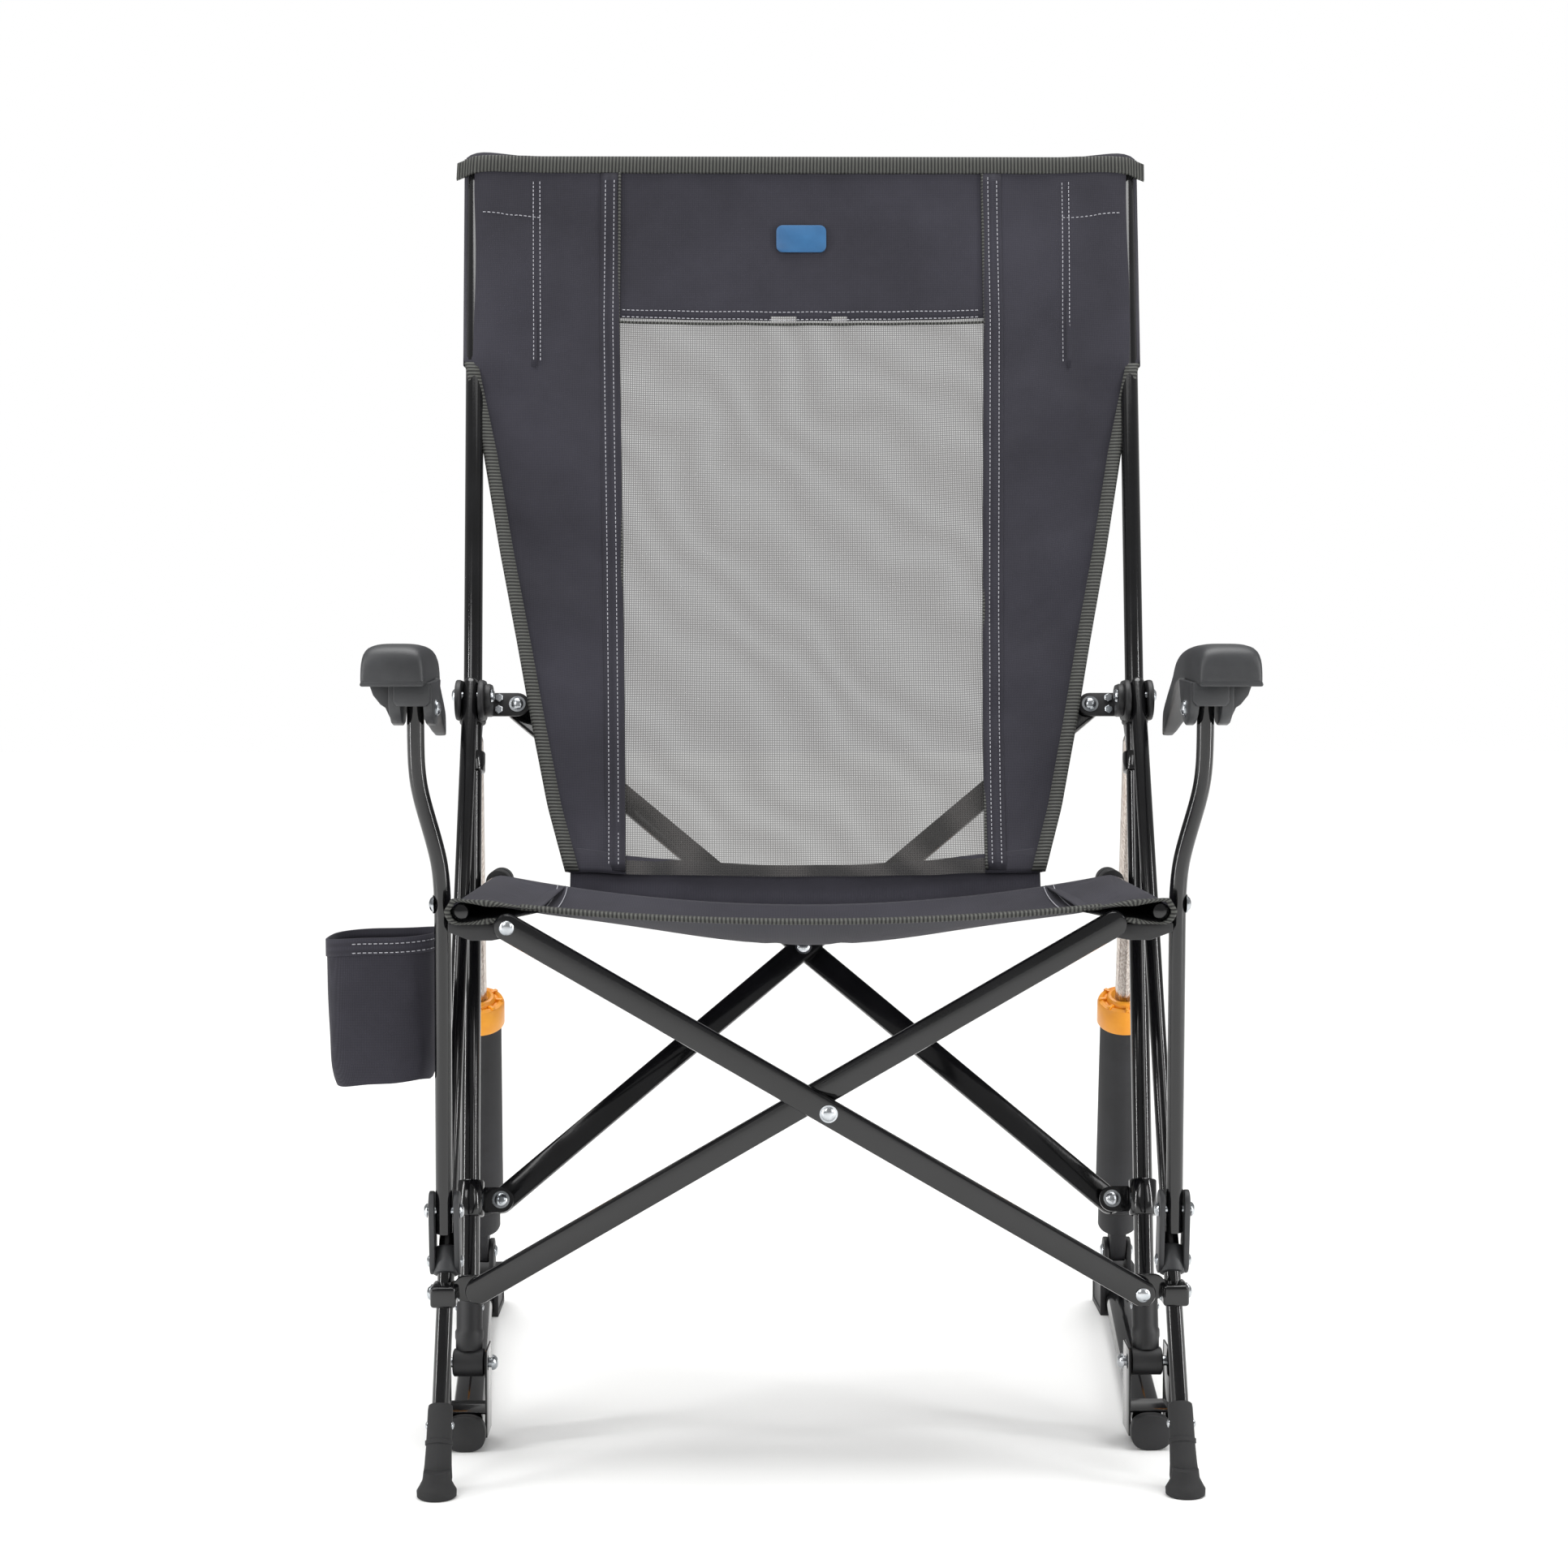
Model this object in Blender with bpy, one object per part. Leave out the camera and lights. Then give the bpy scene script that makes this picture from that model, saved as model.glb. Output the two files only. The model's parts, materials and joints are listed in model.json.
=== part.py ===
"""High-back camp rocking chair with spring struts: folding steel tube frame, sling seat and cup pocket.

Metres, +Z up, the chair faces -Y.  Side views are laid out with depth measured back from the front
feet, and every point is placed with at(side, out, depth, height), side -1 for the left half.
"""
import math

import bmesh
import bpy
from mathutils import Matrix, Vector

# Overall placing: the origin is the middle of the floor area that the whole chair covers
CENTRE_X = 0.02025
CENTRE_DEPTH = 0.3094

# Tube sizes
LEG_RADIUS = 0.0066
POLE_RADIUS = 0.0080
RAIL_RADIUS = 0.0065
RUNNER_RADIUS = 0.0125
TUBE_WALL = 0.0012
SLIDE_GAP = 0.0004
BOLT_RADIUS = 0.0030
SIDES = 12

# Side view, (depth, height)
ROCK_PIVOT = (0.148, 0.065)
POLE_TOP = (0.513, 1.092)
LEG_FOOT = (0.0, 0.0)
LEG_PIVOT = (0.3161, 0.603)
KNUCKLE_HEIGHT = 0.144
SLIDER_PIVOT = (0.0781, 0.2035)
RAIL_PIVOT = (0.0494, 0.4445)
ARM_PIVOT = (0.030, 0.598)
REAR_BAR_LOW = 0.190
REAR_BAR_HIGH = 0.597
STRUT_LOW = (0.600, 0.058)
STRUT_HIGH = (0.360, 0.580)

# Half widths
RUNNER_OUT = 0.2756
RUNNER_SPLAY = 0.0742
STRUT_OUT = (0.3095, 0.2905)
ARM_PIVOT_OUT = 0.3005
REAR_BAR_OUT = (0.253, 0.250)
FRONT_BAR_OUT = (0.2578, 0.2308)
FRONT_BAR_HIGH = (0.0215, 0.4330)

# Cross bars
BAR_WIDTH = 0.0205
BAR_THICK = 0.0080
BAR_STEP = 0.0095

# Strut
SLEEVE_RADIUS = 0.0219
COLLAR_RADIUS = 0.0250
ROD_RADIUS = 0.0088
SPRING_TURNS = 7

# Sling and pocket
SEAT_HALF = 0.2580
BACK_HALF = 0.2780
SLING_THICK = 0.0040

COLOURS = {
    "enamel": ((0.012, 0.012, 0.014), 0.22, 0.0),
    "plastic": ((0.030, 0.030, 0.034), 0.62, 0.0),
    "grey_plastic": ((0.070, 0.070, 0.078), 0.55, 0.0),
    "rubber": ((0.025, 0.025, 0.028), 0.80, 0.0),
    "zinc": ((0.62, 0.63, 0.64), 0.32, 1.0),
    "chrome": ((0.70, 0.69, 0.67), 0.15, 1.0),
    "spring_steel": ((0.45, 0.45, 0.47), 0.35, 1.0),
    "amber": ((0.80, 0.36, 0.02), 0.45, 0.0),
    "fabric": ((0.050, 0.050, 0.058), 0.90, 0.0),
}


def at(side, out, depth, height):
    return Vector((CENTRE_X + side * out, depth - CENTRE_DEPTH, height))


def pole_out(height):
    return 0.2748 + 0.0250 * (height - ROCK_PIVOT[1])


def leg_out(height):
    return 0.2846 + 0.0062 * height


def on_line(low, high, height):
    """Depth of the straight line low-high at a height."""
    return low[0] + (high[0] - low[0]) * (height - low[1]) / (high[1] - low[1])


def pole_point(side, height):
    return at(side, pole_out(height), on_line(ROCK_PIVOT, POLE_TOP, height), height)


def leg_point(side, height):
    return at(side, leg_out(height), on_line(LEG_FOOT, LEG_PIVOT, height), height)


def material(name):
    found = bpy.data.materials.get(name)
    if found:
        return found
    colour, rough, metal = COLOURS[name]
    made = bpy.data.materials.new(name)
    made.use_nodes = True
    shader = made.node_tree.nodes["Principled BSDF"]
    shader.inputs["Base Color"].default_value = (*colour, 1.0)
    shader.inputs["Roughness"].default_value = rough
    shader.inputs["Metallic"].default_value = metal
    return made


def clear_scene():
    for thing in list(bpy.data.objects):
        bpy.data.objects.remove(thing, do_unlink=True)


def finish(bm, name, finish_name, pivot, smooth=True):
    """Closes a bmesh into a named object whose origin is its joint's axis point."""
    bmesh.ops.remove_doubles(bm, verts=bm.verts, dist=0.000005)
    bmesh.ops.recalc_face_normals(bm, faces=bm.faces)
    bmesh.ops.translate(bm, verts=bm.verts, vec=-pivot)
    mesh = bpy.data.meshes.new(name)
    bm.to_mesh(mesh)
    bm.free()
    if smooth:
        mesh.shade_smooth()
        mesh.set_sharp_from_angle(angle=math.radians(35))
    mesh.materials.append(material(finish_name))
    made = bpy.data.objects.new(name, mesh)
    made.location = pivot
    bpy.context.scene.collection.objects.link(made)
    return made


def ring(bm, centre, normal, radius, sides=SIDES):
    """A loop of points round a centre, starting from the same side each time."""
    normal = normal.normalized()
    first = Vector((1, 0, 0)) if abs(normal.x) < 0.9 else Vector((0, 0, 1))
    first = (first - normal * first.dot(normal)).normalized()
    second = normal.cross(first)
    loop = []
    for step in range(sides):
        angle = 2 * math.pi * step / sides
        loop.append(bm.verts.new(centre + radius * (math.cos(angle) * first + math.sin(angle) * second)))
    return loop


def skin(bm, loops, closed):
    """Joins loops of points with faces; an open row of loops gets end caps."""
    count = len(loops)
    for index in range(count if closed else count - 1):
        one, two = loops[index], loops[(index + 1) % count]
        for step in range(len(one)):
            after = (step + 1) % len(one)
            bm.faces.new((one[step], one[after], two[after], two[step]))
    if not closed:
        bm.faces.new(loops[0])
        bm.faces.new(loops[-1])


def path_normals(points):
    normals = []
    for index, point in enumerate(points):
        before = points[max(index - 1, 0)]
        after = points[min(index + 1, len(points) - 1)]
        normals.append((after - before).normalized())
    return normals


def add_tube(bm, points, radius, wall=TUBE_WALL, sides=SIDES):
    """A hollow tube, open at both ends."""
    normals = path_normals(points)
    outer = [ring(bm, point, normal, radius, sides) for point, normal in zip(points, normals)]
    inner = [ring(bm, point, normal, radius - wall, sides) for point, normal in zip(points, normals)]
    skin(bm, outer + inner[::-1], closed=True)


def add_turned(bm, start, direction, profile, hollow=False, sides=SIDES):
    """A turned solid: profile is a row of (distance along, radius)."""
    direction = direction.normalized()
    loops = [ring(bm, start + direction * along, direction, radius, sides) for along, radius in profile]
    skin(bm, loops, closed=hollow)


def add_collar(bm, centre, direction, length, outer, inner, sides=SIDES):
    half = length / 2
    edge = min(0.0010, (outer - inner) / 3)
    profile = [(-half, inner), (-half, outer - edge), (-half + edge, outer), (half - edge, outer),
               (half, outer - edge), (half, inner)]
    add_turned(bm, centre, direction, profile, hollow=True, sides=sides)


def add_hub(bm, centre, direction, length, outer):
    """A short solid boss, to be bored through once its ears are on."""
    half, edge = length / 2, 0.0010
    profile = [(-half, outer - edge), (-half + edge, outer), (half - edge, outer), (half, outer - edge)]
    add_turned(bm, centre, direction, profile)


def add_plate(bm, outline, thickness):
    """Pushes a flat outline through its thickness, half to each side."""
    normal = (outline[1] - outline[0]).cross(outline[2] - outline[1]).normalized()
    face = bm.faces.new([bm.verts.new(point - normal * thickness / 2) for point in outline])
    grown = bmesh.ops.extrude_face_region(bm, geom=[face])
    moved = [part for part in grown["geom"] if isinstance(part, bmesh.types.BMVert)]
    bmesh.ops.translate(bm, verts=moved, vec=normal * thickness)


def stadium(start, end, radius, normal, end_radius=None, steps=7):
    """Outline of a strap with round ends, from start to end, facing normal."""
    end_radius = end_radius or radius
    along = (end - start).normalized()
    across = normal.normalized().cross(along)
    outline = []
    for step in range(steps + 1):
        angle = math.pi / 2 + math.pi * step / steps
        outline.append(start + radius * (math.cos(angle) * along + math.sin(angle) * across))
    for step in range(steps + 1):
        angle = -math.pi / 2 + math.pi * step / steps
        outline.append(end + end_radius * (math.cos(angle) * along + math.sin(angle) * across))
    return outline


def add_box(bm, low, high):
    corners = [Vector((low.x, low.y, low.z)), Vector((high.x, low.y, low.z)),
               Vector((high.x, high.y, low.z)), Vector((low.x, high.y, low.z))]
    lift = Vector((0, 0, (high.z - low.z) / 2))
    add_plate(bm, [corner + lift for corner in corners], high.z - low.z)


def solid(name, finish_name, pivot, build, *values, **settings):
    """Makes one object with a builder function that fills a bmesh."""
    bm = bmesh.new()
    build(bm, *values, **settings)
    return finish(bm, name, finish_name, pivot)


def combine(target, other, operation):
    """Adds a live Boolean; the second shape is a guide and isn't part of the chair."""
    other.hide_render = True
    other.display_type = "WIRE"
    cut = target.modifiers.new(operation.lower(), "BOOLEAN")
    cut.operation = operation
    cut.solver = "EXACT"
    cut.object = other


def drill(target, centre, direction, radius, length=0.08):
    sides = SIDES if radius > LEG_RADIUS else 10
    profile = [(-length / 2, radius), (length / 2, radius)]
    cutter = solid(target.name + "_drill", "zinc", centre, add_turned, centre, direction, profile, sides=sides)
    combine(target, cutter, "DIFFERENCE")


def across(side):
    return Vector((side, 0, 0))


def side_plane():
    return Vector((1, 0, 0))


def pole_direction(side):
    return (pole_point(side, POLE_TOP[1]) - pole_point(side, ROCK_PIVOT[1])).normalized()


def pole_back(side):
    """Square to the pole, pointing to its rear."""
    return pole_direction(side).cross(Vector((1, 0, 0))).normalized()


def leg_direction(side):
    return (leg_point(side, LEG_PIVOT[1]) - leg_point(side, 0)).normalized()


def post_path(side):
    """The arm post: straight up from the slider, then a joggle outwards under the armrest."""
    shape = [(0.2869, 0.0805, 0.1855), (0.2830, 0.0494, 0.449), (0.2838, 0.0465, 0.472),
             (0.2866, 0.0445, 0.4875), (0.2913, 0.0420, 0.506), (0.2983, 0.0390, 0.531),
             (0.3012, 0.0360, 0.552), (0.3010, 0.0330, 0.575), (ARM_PIVOT_OUT, 0.0298, 0.604)]
    return [at(side, out, depth, height) for out, depth, height in shape]


def slider_point(side):
    return at(side, 0.2866, *SLIDER_PIVOT)


def knuckle_point(side):
    return leg_point(side, KNUCKLE_HEIGHT - 0.0045)


def strut_points(side):
    return at(side, STRUT_OUT[0], *STRUT_LOW), at(side, STRUT_OUT[1], *STRUT_HIGH)


def runner_point(side, depth, height=0.0145):
    return at(side, RUNNER_OUT + RUNNER_SPLAY * (depth - 0.13), depth, height)


def front_bar_ends(side, layer):
    """Lower pin on this side's knuckle, upper pin under the other side's rail clip."""
    low_depth = on_line(LEG_FOOT, LEG_PIVOT, KNUCKLE_HEIGHT) - 0.022
    low = at(side, FRONT_BAR_OUT[0], low_depth, KNUCKLE_HEIGHT)
    high = at(-side, FRONT_BAR_OUT[1], *FRONT_BAR_HIGH)
    normal = front_bar_normal()
    return low + normal * BAR_STEP * layer, high + normal * BAR_STEP * layer


def front_bar_normal():
    """Square to the front pair's common plane, pointing backwards."""
    low_depth = on_line(LEG_FOOT, LEG_PIVOT, KNUCKLE_HEIGHT) - 0.022
    lean = Vector((0, FRONT_BAR_HIGH[0] - low_depth, FRONT_BAR_HIGH[1] - KNUCKLE_HEIGHT)).normalized()
    return Vector((1, 0, 0)).cross(lean) * -1


def rear_bar_point(side, height, out, layer):
    """A point on the rear pair, which lies in a plane behind the poles."""
    back = Vector((0, pole_back(1).y, pole_back(1).z)).normalized()
    depth = on_line(ROCK_PIVOT, POLE_TOP, height)
    return at(side, out, depth, height) + back * (0.0180 + BAR_STEP * layer)


def make_runner(side, mark, root):
    front, rear = runner_point(side, 0.128), runner_point(side, 0.622)
    solid("base_runner" + mark, "enamel", root, add_tube, [front, rear], RUNNER_RADIUS)

    def cap(bm):
        outline = []
        for step in range(16):
            angle = 2 * math.pi * step / 16
            outline.append(front + Vector((0.0165 * math.cos(angle), -0.0070, 0.0145 * math.sin(angle))))
        add_plate(bm, outline, 0.0110)

    solid("runner_cap" + mark, "plastic", root, cap)


def make_runner_bracket(side, mark, root):
    """Bent sheet saddle: two walls for the rock pin, and skirts down both sides of the runner."""
    low, high, web, sheet = 0.0080, 0.0780, 0.0290, 0.0018
    inside, outside = 0.0154, 0.0172
    outline = [(outside, low), (outside, high), (inside, high), (inside, web), (-inside, web),
               (-inside, high), (-outside, high), (-outside, low), (-inside, low),
               (-inside, web - sheet), (inside, web - sheet), (inside, low)]
    runner_x = runner_point(side, ROCK_PIVOT[0]).x
    centre = at(side, pole_out(ROCK_PIVOT[1]), ROCK_PIVOT[0], 0)
    centre.x = (centre.x + runner_x) / 2

    def saddle(bm):
        add_plate(bm, [centre + Vector((out, 0, height)) for out, height in outline], 0.036)

    made = solid("runner_bracket" + mark, "enamel", root, saddle)
    drill(made, pole_point(side, ROCK_PIVOT[1]), across(1), BOLT_RADIUS + 0.0014)


def make_rock_pin(side, mark, root):
    """Hinge bolt with a domed head at both ends."""
    pivot = pole_point(side, ROCK_PIVOT[1])
    profile = [(-0.0235, 0.0020), (-0.0225, 0.0050), (-0.0186, 0.0062), (-0.0186, 0.0040),
               (0.0186, 0.0040), (0.0186, 0.0062), (0.0225, 0.0050), (0.0235, 0.0020)]
    solid("rock_pin" + mark, "zinc", root, add_turned, pivot, across(1), profile, sides=12)


def make_rear_foot(side, mark, root):
    """Moulded block over the runner's rear end, with two ears for the strut."""
    low, _ = strut_points(side)
    runner_x = runner_point(side, STRUT_LOW[0]).x
    middle = Vector(((low.x + runner_x) / 2, low.y, 0))
    ear_normal = side_plane()

    def block(bm):
        add_box(bm, middle + Vector((-0.0195, -0.030, 0)), middle + Vector((0.0195, 0.034, 0.040)))

    def ear(bm, shift):
        start = low + Vector((shift, 0, -0.026))
        end = low + Vector((shift, 0, 0))
        add_plate(bm, stadium(start, end, 0.0145, ear_normal, end_radius=0.0125), 0.0045)

    made = solid("rear_foot" + mark, "plastic", root, block)
    for shift in (-0.0108, 0.0108):
        combine(made, solid("ear_guide" + mark, "plastic", low, ear, shift), "UNION")
    direction = runner_point(side, 0.622) - runner_point(side, 0.128)
    drill(made, runner_point(side, 0.56), direction, RUNNER_RADIUS + 0.0003, length=0.1268)
    drill(made, low, across(1), BOLT_RADIUS + 0.0003)


def make_strut(side, mark):
    low, high = strut_points(side)
    direction = (high - low).normalized()
    length = (high - low).length
    sleeve = [(0.029, 0.0188), (0.056, 0.0188), (0.0575, SLEEVE_RADIUS), (0.2620, SLEEVE_RADIUS),
              (0.2620, SLEEVE_RADIUS - 0.0024), (0.060, SLEEVE_RADIUS - 0.0024)]
    made = solid("strut_sleeve" + mark, "plastic", low, add_turned, low, direction, sleeve)
    eye = solid("eye_guide" + mark, "plastic", low, add_plate,
                stadium(low, low + direction * 0.033, 0.0112, side_plane()), 0.0155)
    combine(made, eye, "UNION")
    drill(made, low, across(1), BOLT_RADIUS + 0.0003)

    collar = [(0.2640, ROD_RADIUS + SLIDE_GAP), (0.2640, 0.0215), (0.2625, 0.0215), (0.2625, COLLAR_RADIUS),
              (0.2860, COLLAR_RADIUS), (0.2915, 0.0205), (0.2915, ROD_RADIUS + SLIDE_GAP)]
    solid("strut_collar" + mark, "amber", low, add_turned, low, direction, collar, hollow=True)

    rod = [(0.2330, 0.0185), (0.2400, 0.0185), (0.2400, ROD_RADIUS), (length - 0.0170, ROD_RADIUS),
           (length - 0.0150, 0.0060)]
    made = solid("strut_rod" + mark, "chrome", high, add_turned, low, direction, rod)
    eye = solid("rod_eye_guide" + mark, "chrome", high, add_plate,
                stadium(high - direction * 0.020, high, 0.0080, side_plane()), 0.0085)
    combine(made, eye, "UNION")
    drill(made, high, across(1), BOLT_RADIUS + 0.0018)
    make_spring("strut_spring" + mark, low, direction)


def make_spring(name, low, direction):
    """Coil spring inside the sleeve, between its floor and the rod's piston."""
    begin, end, coil, wire = 0.0640, 0.2300, 0.0160, 0.0017
    first = direction.cross(Vector((1, 0, 0))).normalized()
    second = direction.cross(first)
    count = SPRING_TURNS * 8
    points = []
    for step in range(count + 1):
        angle = 2 * math.pi * step / 8
        out = coil * (math.cos(angle) * first + math.sin(angle) * second)
        points.append(low + direction * (begin + (end - begin) * step / count) + out)
    normals = path_normals(points)

    def coil_wire(bm):
        skin(bm, [ring(bm, point, normal, wire, 4) for point, normal in zip(points, normals)], closed=False)

    solid(name, "spring_steel", low, coil_wire)


def make_back_pole(side, mark, pivot):
    direction = pole_direction(side)
    top = pole_point(side, POLE_TOP[1])
    solid("back_pole" + mark, "enamel", pivot, add_tube, [pivot + direction * 0.0500, top], POLE_RADIUS)

    neck = [(0.006, 0.0108), (0.0600, 0.0108), (0.0640, 0.0100), (0.0640, POLE_RADIUS + 0.0003),
            (0.0495, POLE_RADIUS + 0.0003)]
    made = solid("pole_socket" + mark, "plastic", pivot, add_turned, pivot, direction, neck)
    barrel = solid("barrel_guide" + mark, "plastic", pivot, add_turned, pivot, across(1),
                   [(-0.0130, 0.0112), (0.0130, 0.0112)])
    combine(made, barrel, "UNION")
    drill(made, pivot, across(1), 0.0043)


def make_rear_bar_bracket(side, mark, pivot):
    """Clamp round the foot of the pole, with an ear behind it for one rear cross bar."""
    centre = pole_point(side, REAR_BAR_LOW)
    made = solid("rear_bar_bracket" + mark, "enamel", pivot, add_hub, centre, pole_direction(side), 0.030,
                 POLE_RADIUS + 0.0035)
    ear = solid("bracket_ear_guide" + mark, "enamel", pivot, rear_ear, side, REAR_BAR_LOW, REAR_BAR_OUT[0])
    combine(made, ear, "UNION")
    drill(made, centre, pole_direction(side), POLE_RADIUS + 0.0003)


def rear_ear(bm, side, height, out):
    """Flat ear just in front of the rear bars' plane."""
    end = rear_bar_point(side, height, out, 0)
    start = rear_bar_point(side, height, pole_out(height) - 0.004, 0)
    forward = Vector((0, -pole_back(1).y, -pole_back(1).z)).normalized()
    lift = forward * (BAR_STEP / 2 + BAR_THICK / 2 + 0.0020)
    add_plate(bm, stadium(start + lift, end + lift, 0.0105, forward), 0.0030)


def make_strut_lug(side, mark, pivot):
    """Ring round the pole, with a cheek and a stub pin behind it for the strut's eye."""
    _, high = strut_points(side)
    centre = pole_point(side, 0.545)
    made = solid("strut_lug" + mark, "enamel", pivot, add_hub, centre, pole_direction(side), 0.018,
                 POLE_RADIUS + 0.0030)
    cheek_x = at(side, STRUT_OUT[1] - 0.0068, 0, 0).x
    start = Vector((cheek_x, centre.y, centre.z)) + pole_back(side) * 0.004
    end = Vector((cheek_x, high.y, high.z))
    cheek = solid("cheek_guide" + mark, "enamel", pivot, add_plate,
                  stadium(start, end, 0.0085, side_plane(), end_radius=0.0070), 0.0030)
    combine(made, cheek, "UNION")
    pin = solid("stub_guide" + mark, "enamel", pivot, add_turned, high, across(side),
                [(-0.0068, BOLT_RADIUS), (0.0062, BOLT_RADIUS)], sides=12)
    combine(made, pin, "UNION")
    drill(made, centre, pole_direction(side), POLE_RADIUS + 0.0003)


def make_pole_bracket(side, mark):
    """Moulded slider on the pole: a sleeve, two cheeks that hold the leg's top, and a bar ear."""
    pivot = at(side, leg_out(LEG_PIVOT[1]), *LEG_PIVOT)
    centre = pole_point(side, LEG_PIVOT[1] - 0.008)
    made = solid("pole_bracket" + mark, "plastic", pivot, add_hub, centre, pole_direction(side), 0.036,
                 POLE_RADIUS + 0.0034)
    cheeks = ((0.0098, 0.0050), (-0.0098, 0.0050), (-0.0148, 0.0060))
    for number, (shift, thick) in enumerate(cheeks):
        slim = 0.0035 if number == 2 else 0.0
        start = pivot + Vector((side * shift, 0.002 + slim, -0.004))
        end = Vector((start.x, centre.y, centre.z + 0.003))
        cheek = solid("cheek_guide_%d" % number + mark, "plastic", pivot, add_plate,
                      stadium(start, end, 0.0175 - slim, side_plane()), thick)
        combine(made, cheek, "UNION")
    ear = solid("ear_guide_high" + mark, "plastic", pivot, rear_ear, side, REAR_BAR_HIGH, REAR_BAR_OUT[1])
    combine(made, ear, "UNION")
    drill(made, centre, pole_direction(side), POLE_RADIUS + SLIDE_GAP, length=0.12)
    drill(made, pivot, across(1), BOLT_RADIUS + 0.0003)
    return pivot


def make_leg(side, mark, pivot):
    direction = leg_direction(side)
    foot = leg_point(side, 0)
    length = (pivot - foot).length
    profile = [(0.0205, LEG_RADIUS), (length + 0.0120, LEG_RADIUS), (length + 0.0165, 0.0038),
               (length + 0.0140, 0.0025), (length + 0.0105, LEG_RADIUS - TUBE_WALL),
               (0.0205, LEG_RADIUS - TUBE_WALL)]
    outer, inner = profile[:3], profile[3:]

    def leg(bm):
        loops = [ring(bm, foot + direction * along, direction, radius) for along, radius in outer]
        back = [ring(bm, foot + direction * along, direction, radius) for along, radius in inner]
        skin(bm, loops + back, closed=True)

    made = solid("front_leg" + mark, "enamel", pivot, leg)
    drill(made, pivot, across(1), BOLT_RADIUS + 0.0003)
    drill(made, knuckle_point(side), across(1), BOLT_RADIUS + 0.0004)

    def boot(bm):
        up = Vector((0, 0, 1))
        loops = [ring(bm, foot, up, 0.0140), ring(bm, foot + up * 0.0015, up, 0.0152),
                 ring(bm, foot + up * 0.0060, up, 0.0152),
                 ring(bm, foot + Vector((0, 0.0040, 0.0110)), up, 0.0118)]
        for along, radius in ((0.0240, 0.0102), (0.0400, 0.0098), (0.0415, 0.0104), (0.0440, 0.0098),
                              (0.0690, 0.0096), (0.0700, 0.0088), (0.0700, LEG_RADIUS + 0.0003),
                              (0.0200, LEG_RADIUS + 0.0003)):
            loops.append(ring(bm, foot + direction * along, direction, radius))
        skin(bm, loops, closed=False)

    solid("leg_foot" + mark, "rubber", pivot, boot)


def make_knuckle(side, mark, centre):
    """Yoke that straddles the leg and swings on its own axle, with an ear for one front cross bar."""
    low, _ = front_bar_ends(side, 0)
    normal = front_bar_normal()

    def hub(bm):
        add_box(bm, centre + Vector((-0.0102, -0.0178, -0.0085)), centre + Vector((0.0102, 0.0085, 0.0085)))

    def slot(bm):
        add_box(bm, centre + Vector((-0.0072, -0.0132, -0.0300)), centre + Vector((0.0072, 0.0300, 0.0300)))

    made = solid("leg_knuckle" + mark, "enamel", centre, hub)
    lift = normal * (BAR_STEP / 2 + BAR_THICK / 2 + 0.0021)
    root = Vector((centre.x - side * 0.0177, low.y, low.z))
    ear = solid("knuckle_ear" + mark, "enamel", centre, add_plate,
                stadium(root + lift, low + lift, 0.0105, normal), 0.0032)
    combine(made, ear, "UNION")
    combine(made, solid("knuckle_slot" + mark, "enamel", centre, slot), "DIFFERENCE")
    axle = solid("knuckle_axle" + mark, "enamel", centre, add_turned, centre, across(1),
                 [(-0.0148, 0.0030), (-0.0132, 0.0058), (-0.0095, 0.0058), (-0.0095, BOLT_RADIUS),
                  (0.0095, BOLT_RADIUS), (0.0095, 0.0058), (0.0132, 0.0058), (0.0148, 0.0030)], sides=12)
    combine(made, axle, "UNION")


def make_slider(side, mark):
    """Collar that runs on the leg, with a fork that holds the arm post's foot."""
    pin = slider_point(side)
    centre = leg_point(side, SLIDER_PIVOT[1] - 0.0415)
    made = solid("leg_slider" + mark, "grey_plastic", pin, add_hub, centre, leg_direction(side), 0.022,
                 LEG_RADIUS + 0.0036)
    for number, shift in enumerate((-0.0098, 0.0098)):
        ear_x = (pin.x + centre.x) / 2 + shift
        start = Vector((ear_x, centre.y, centre.z))
        end = Vector((ear_x, pin.y, pin.z + 0.006))
        ear = solid("fork_guide_%d" % number + mark, "grey_plastic", pin, add_plate,
                    stadium(start, end, 0.0105, side_plane(), end_radius=0.0095), 0.0044)
        combine(made, ear, "UNION")
    drill(made, centre, leg_direction(side), LEG_RADIUS + SLIDE_GAP, length=0.10)
    drill(made, pin, across(1), BOLT_RADIUS + 0.0003)
    return pin


def make_post(side, mark, pin):
    made = solid("arm_post" + mark, "enamel", pin, add_tube, post_path(side), LEG_RADIUS)
    drill(made, pin, across(1), BOLT_RADIUS + 0.0003)


def arm_section(side, depth, inner, outer, low, high):
    """Rounded section of the armrest at a depth: flat below, crowned on top."""
    middle, half = (inner + outer) / 2, (outer - inner) / 2
    section = [(-0.86, 0.0), (0.86, 0.0), (1.0, 0.16), (1.0, 0.50), (0.90, 0.80), (0.62, 0.97),
               (0.0, 1.0), (-0.62, 0.97), (-0.90, 0.80), (-1.0, 0.50), (-1.0, 0.16)]
    return [at(side, middle + half * x, depth, low + (high - low) * z) for x, z in section]


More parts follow.
